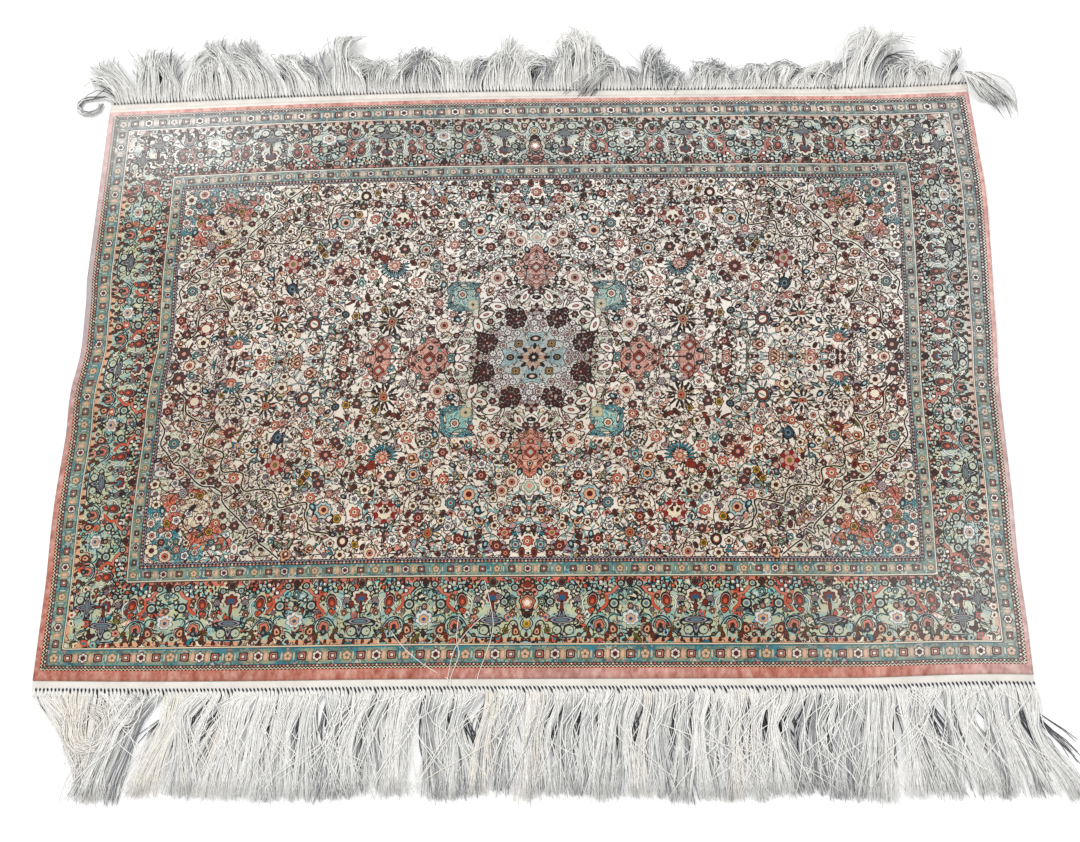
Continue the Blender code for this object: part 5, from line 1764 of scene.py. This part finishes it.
def build_band(name, outward):
    """The plain-woven strip between the pile and the loose warps."""
    count = BUNDLES * 2
    x = np.linspace(-SHEET_WIDTH / 2, SHEET_WIDTH / 2, count + 1)
    points, faces = [], []
    for out, z in BAND_SECTION:
        px, py = band_edge(x, outward, JOINT_GAP + out)
        px = px + np.where(np.arange(count + 1) == 0, 0.0002, 0)
        points += list(zip(px.tolist(), py.tolist(), [z] * (count + 1)))
    ring, width = len(BAND_SECTION), count + 1
    for r in range(ring):
        s = (r + 1) % ring
        for k in range(count):
            quad = (r * width + k, r * width + k + 1, s * width + k + 1, s * width + k)
            faces.append(quad if outward < 0 else quad[::-1])
    first = [r * width for r in range(ring)]
    last = [r * width + count for r in range(ring)]
    faces.append(first if outward < 0 else first[::-1])
    faces.append(last[::-1] if outward < 0 else last)
    mesh = bpy.data.meshes.new(name)
    mesh.from_pydata(points, [], faces)
    mesh.update()
    return add_object(name, mesh)


def build_knots(name, outward, rng, lean):
    """Gathered warps lying over the band's edge, leaning as they leave, and dark strands between them, painted
    as shade.
    """
    steps = np.array([-0.0036, -0.0012, 0.0014, 0.0044, 0.0078])
    ex, ey = band_edge(ROOTS, outward, JOINT_GAP + BAND_WIDTH)
    paths = []
    for shift in (-0.00085, 0.0, 0.00085, 0.0024):
        dark = shift > 0.001  # lies between one group and the next: a dark strand painted as the shade there
        jitter = rng.normal(0, 0.00018, BUNDLES)
        long_one = rng.random(BUNDLES) < 0.15
        end = np.where(long_one, rng.uniform(0.003, 0.008, BUNDLES), rng.uniform(0.0004, 0.0018, BUNDLES))
        low = -0.0034 if outward < 0 else -0.0046
        end = end if outward < 0 else 0.3 * end
        run = low + (end[:, None] - low) * np.linspace(0, 1, 5) if dark else np.tile(steps, (BUNDLES, 1))
        leant = lean[:, None] * LEAN_RUN * (1 - np.exp(-(run + 0.0036) / LEAN_RUN))
        px = ex[:, None] + shift + jitter[:, None] + leant
        py = ey[:, None] + outward * run
        pz = (0.0029 + 0.12 * np.maximum(run, 0)) if dark else np.full_like(px, 0.0021) + 0.0003 * (shift == 0)
        if not dark:
            pz[:, -1] = 0.0026
        paths.append(np.stack([px, py, pz], -1))
    paths = np.concatenate(paths)
    radii = np.tile(np.array([0.00055, 0.00075, 0.00080, 0.00070, 0.00045]), (len(paths), 1))
    radii[3 * BUNDLES :] = np.array([0.00045, 0.00115, 0.00120, 0.00080, 0.00014])
    tone = np.clip(rng.normal(0.5, 0.3, len(paths)), -0.5, 1.0)
    # The strands between the groups are painted dark, as shade.
    tone[3 * BUNDLES :] = rng.uniform(-3.6, -3.0, BUNDLES)
    return thread_mesh(name, paths, radii, tone)


TAPER = np.array([1.15, 1.1, 1, 1, 1, 1, 1, 1, 0.95, 0.85, 0.55])  # of a warp's radius along its length
LOOSE_ENDS = [  # a few long warps that lie on the front border (metres)
    [(-0.1653, -0.3523), (-0.1482, -0.3736), (-0.1213, -0.3959), (-0.0912, -0.4131), (-0.0840, -0.4260)],
    [(-0.0496, -0.2897), (-0.0387, -0.3354), (-0.0395, -0.3592), (-0.0465, -0.3827), (-0.0557, -0.4096),
     (-0.057, -0.4260)],
    [(-0.0500, -0.3341), (-0.0718, -0.3565), (-0.0860, -0.3788), (-0.0925, -0.4107), (-0.0950, -0.4260)],
    [(-0.0811, -0.3352), (-0.0828, -0.3639), (-0.0797, -0.3837), (-0.0888, -0.4107), (-0.0890, -0.4260)],
]


def build_loose_ends(name):
    paths = []
    for line in LOOSE_ENDS:
        flat = np.array(line)
        on_pile = SHEET_THICKNESS + ripple_height(flat[:, 0], flat[:, 1]) + 0.0004
        level = np.where(flat[:, 1] < -0.413, 0.0024, on_pile)  # and down on the woven strip
        paths.append(resample(np.column_stack([flat, level]).tolist(), 24))
    radii = np.full((len(paths), 24), 0.00042)
    return thread_mesh(name, np.array(paths), radii, np.full(len(paths), 1.3))


def build_fringes():
    warps, woven = thread_material(), band_material()
    everything = []
    for side, outward, seed in (("front", -1, 21), ("back", 1, 34)):
        node, slot = side + "_fringe", side + "_warps"
        rng = np.random.default_rng(seed)
        made = [build_band(side + "_band", outward)]
        paths, tone = front_paths(rng) if outward < 0 else back_paths(rng)
        radii = THREAD_RADIUS * rng.uniform(0.82, 1.15, len(paths))[:, None] * TAPER
        for half in (0, 1):
            made.append(thread_mesh(f"{side}_warps_{half + 1}", paths[half::2], radii[half::2], tone[half::2]))
        front_lean, back_lean = 1.05 * from_table(FRONT_FALL, ROOTS, "lean"), np.where(ROOTS > 0.1, 0.30, -0.35)
        knots = build_knots(side + "_knots", outward, rng, front_lean if outward < 0 else back_lean)
        if outward < 0:
            made.append(build_loose_ends("front_loose_ends"))
        made.append(knots)
        for piece in made:
            piece.data.materials.append(woven if piece is made[0] else warps)
            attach(piece, "root")
            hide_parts(node)
        everything += made
    return everything


build_fringes()

# ---------------------------------------------------------------- floor, light and camera
floor_mesh = bpy.data.meshes.new("floor")
floor_mesh.from_pydata([(-30, -30, 0), (30, -30, 0), (30, 30, 0), (-30, 30, 0)], [], [(0, 1, 2, 3)])
floor = add_object("floor", floor_mesh)
floor.location.z = -0.0002
floor_material = bpy.data.materials.new("studio_floor")
floor_material.use_nodes = True
floor_shader = floor_material.node_tree.nodes["Principled BSDF"]
floor_shader.inputs["Base Color"].default_value = (0.93, 0.93, 0.93, 1)
floor_shader.inputs["Roughness"].default_value = 0.9
floor.data.materials.append(floor_material)


def add_light(name, place, aim, size, power):
    data = bpy.data.lights.new(name, "AREA")
    data.energy, data.size = power, size
    light = add_object(name, data)
    light.location = place
    direction = np.array(place) - np.array(aim)
    light.rotation_euler = (
        math.acos(direction[2] / np.linalg.norm(direction)), 0,
        math.atan2(direction[0], -direction[1]),
    )


add_light("key", (-1.6, 1.4, 3.0), (0, 0, 0), 2.2, 72)
add_light("fill", (1.8, -1.2, 2.8), (0, 0, 0), 2.6, 35)
world = bpy.data.worlds.new("studio")
world.use_nodes = True
world.node_tree.nodes["Background"].inputs["Color"].default_value = (1.0, 1.0, 1.0, 1)
world.node_tree.nodes["Background"].inputs["Strength"].default_value = 0.72
bpy.context.scene.world = world
bpy.context.scene.view_settings.view_transform = "Standard"

camera_data = bpy.data.cameras.new("camera")
camera_data.lens, camera_data.sensor_width = 45.87, 36.0
camera_data.clip_start = 0.05
camera = add_object("camera", camera_data)
camera.location = (0.1142, -0.7066, 1.6753)
camera.rotation_euler = (math.radians(20.591), math.radians(3.15), math.radians(0.375))
bpy.context.scene.camera = camera
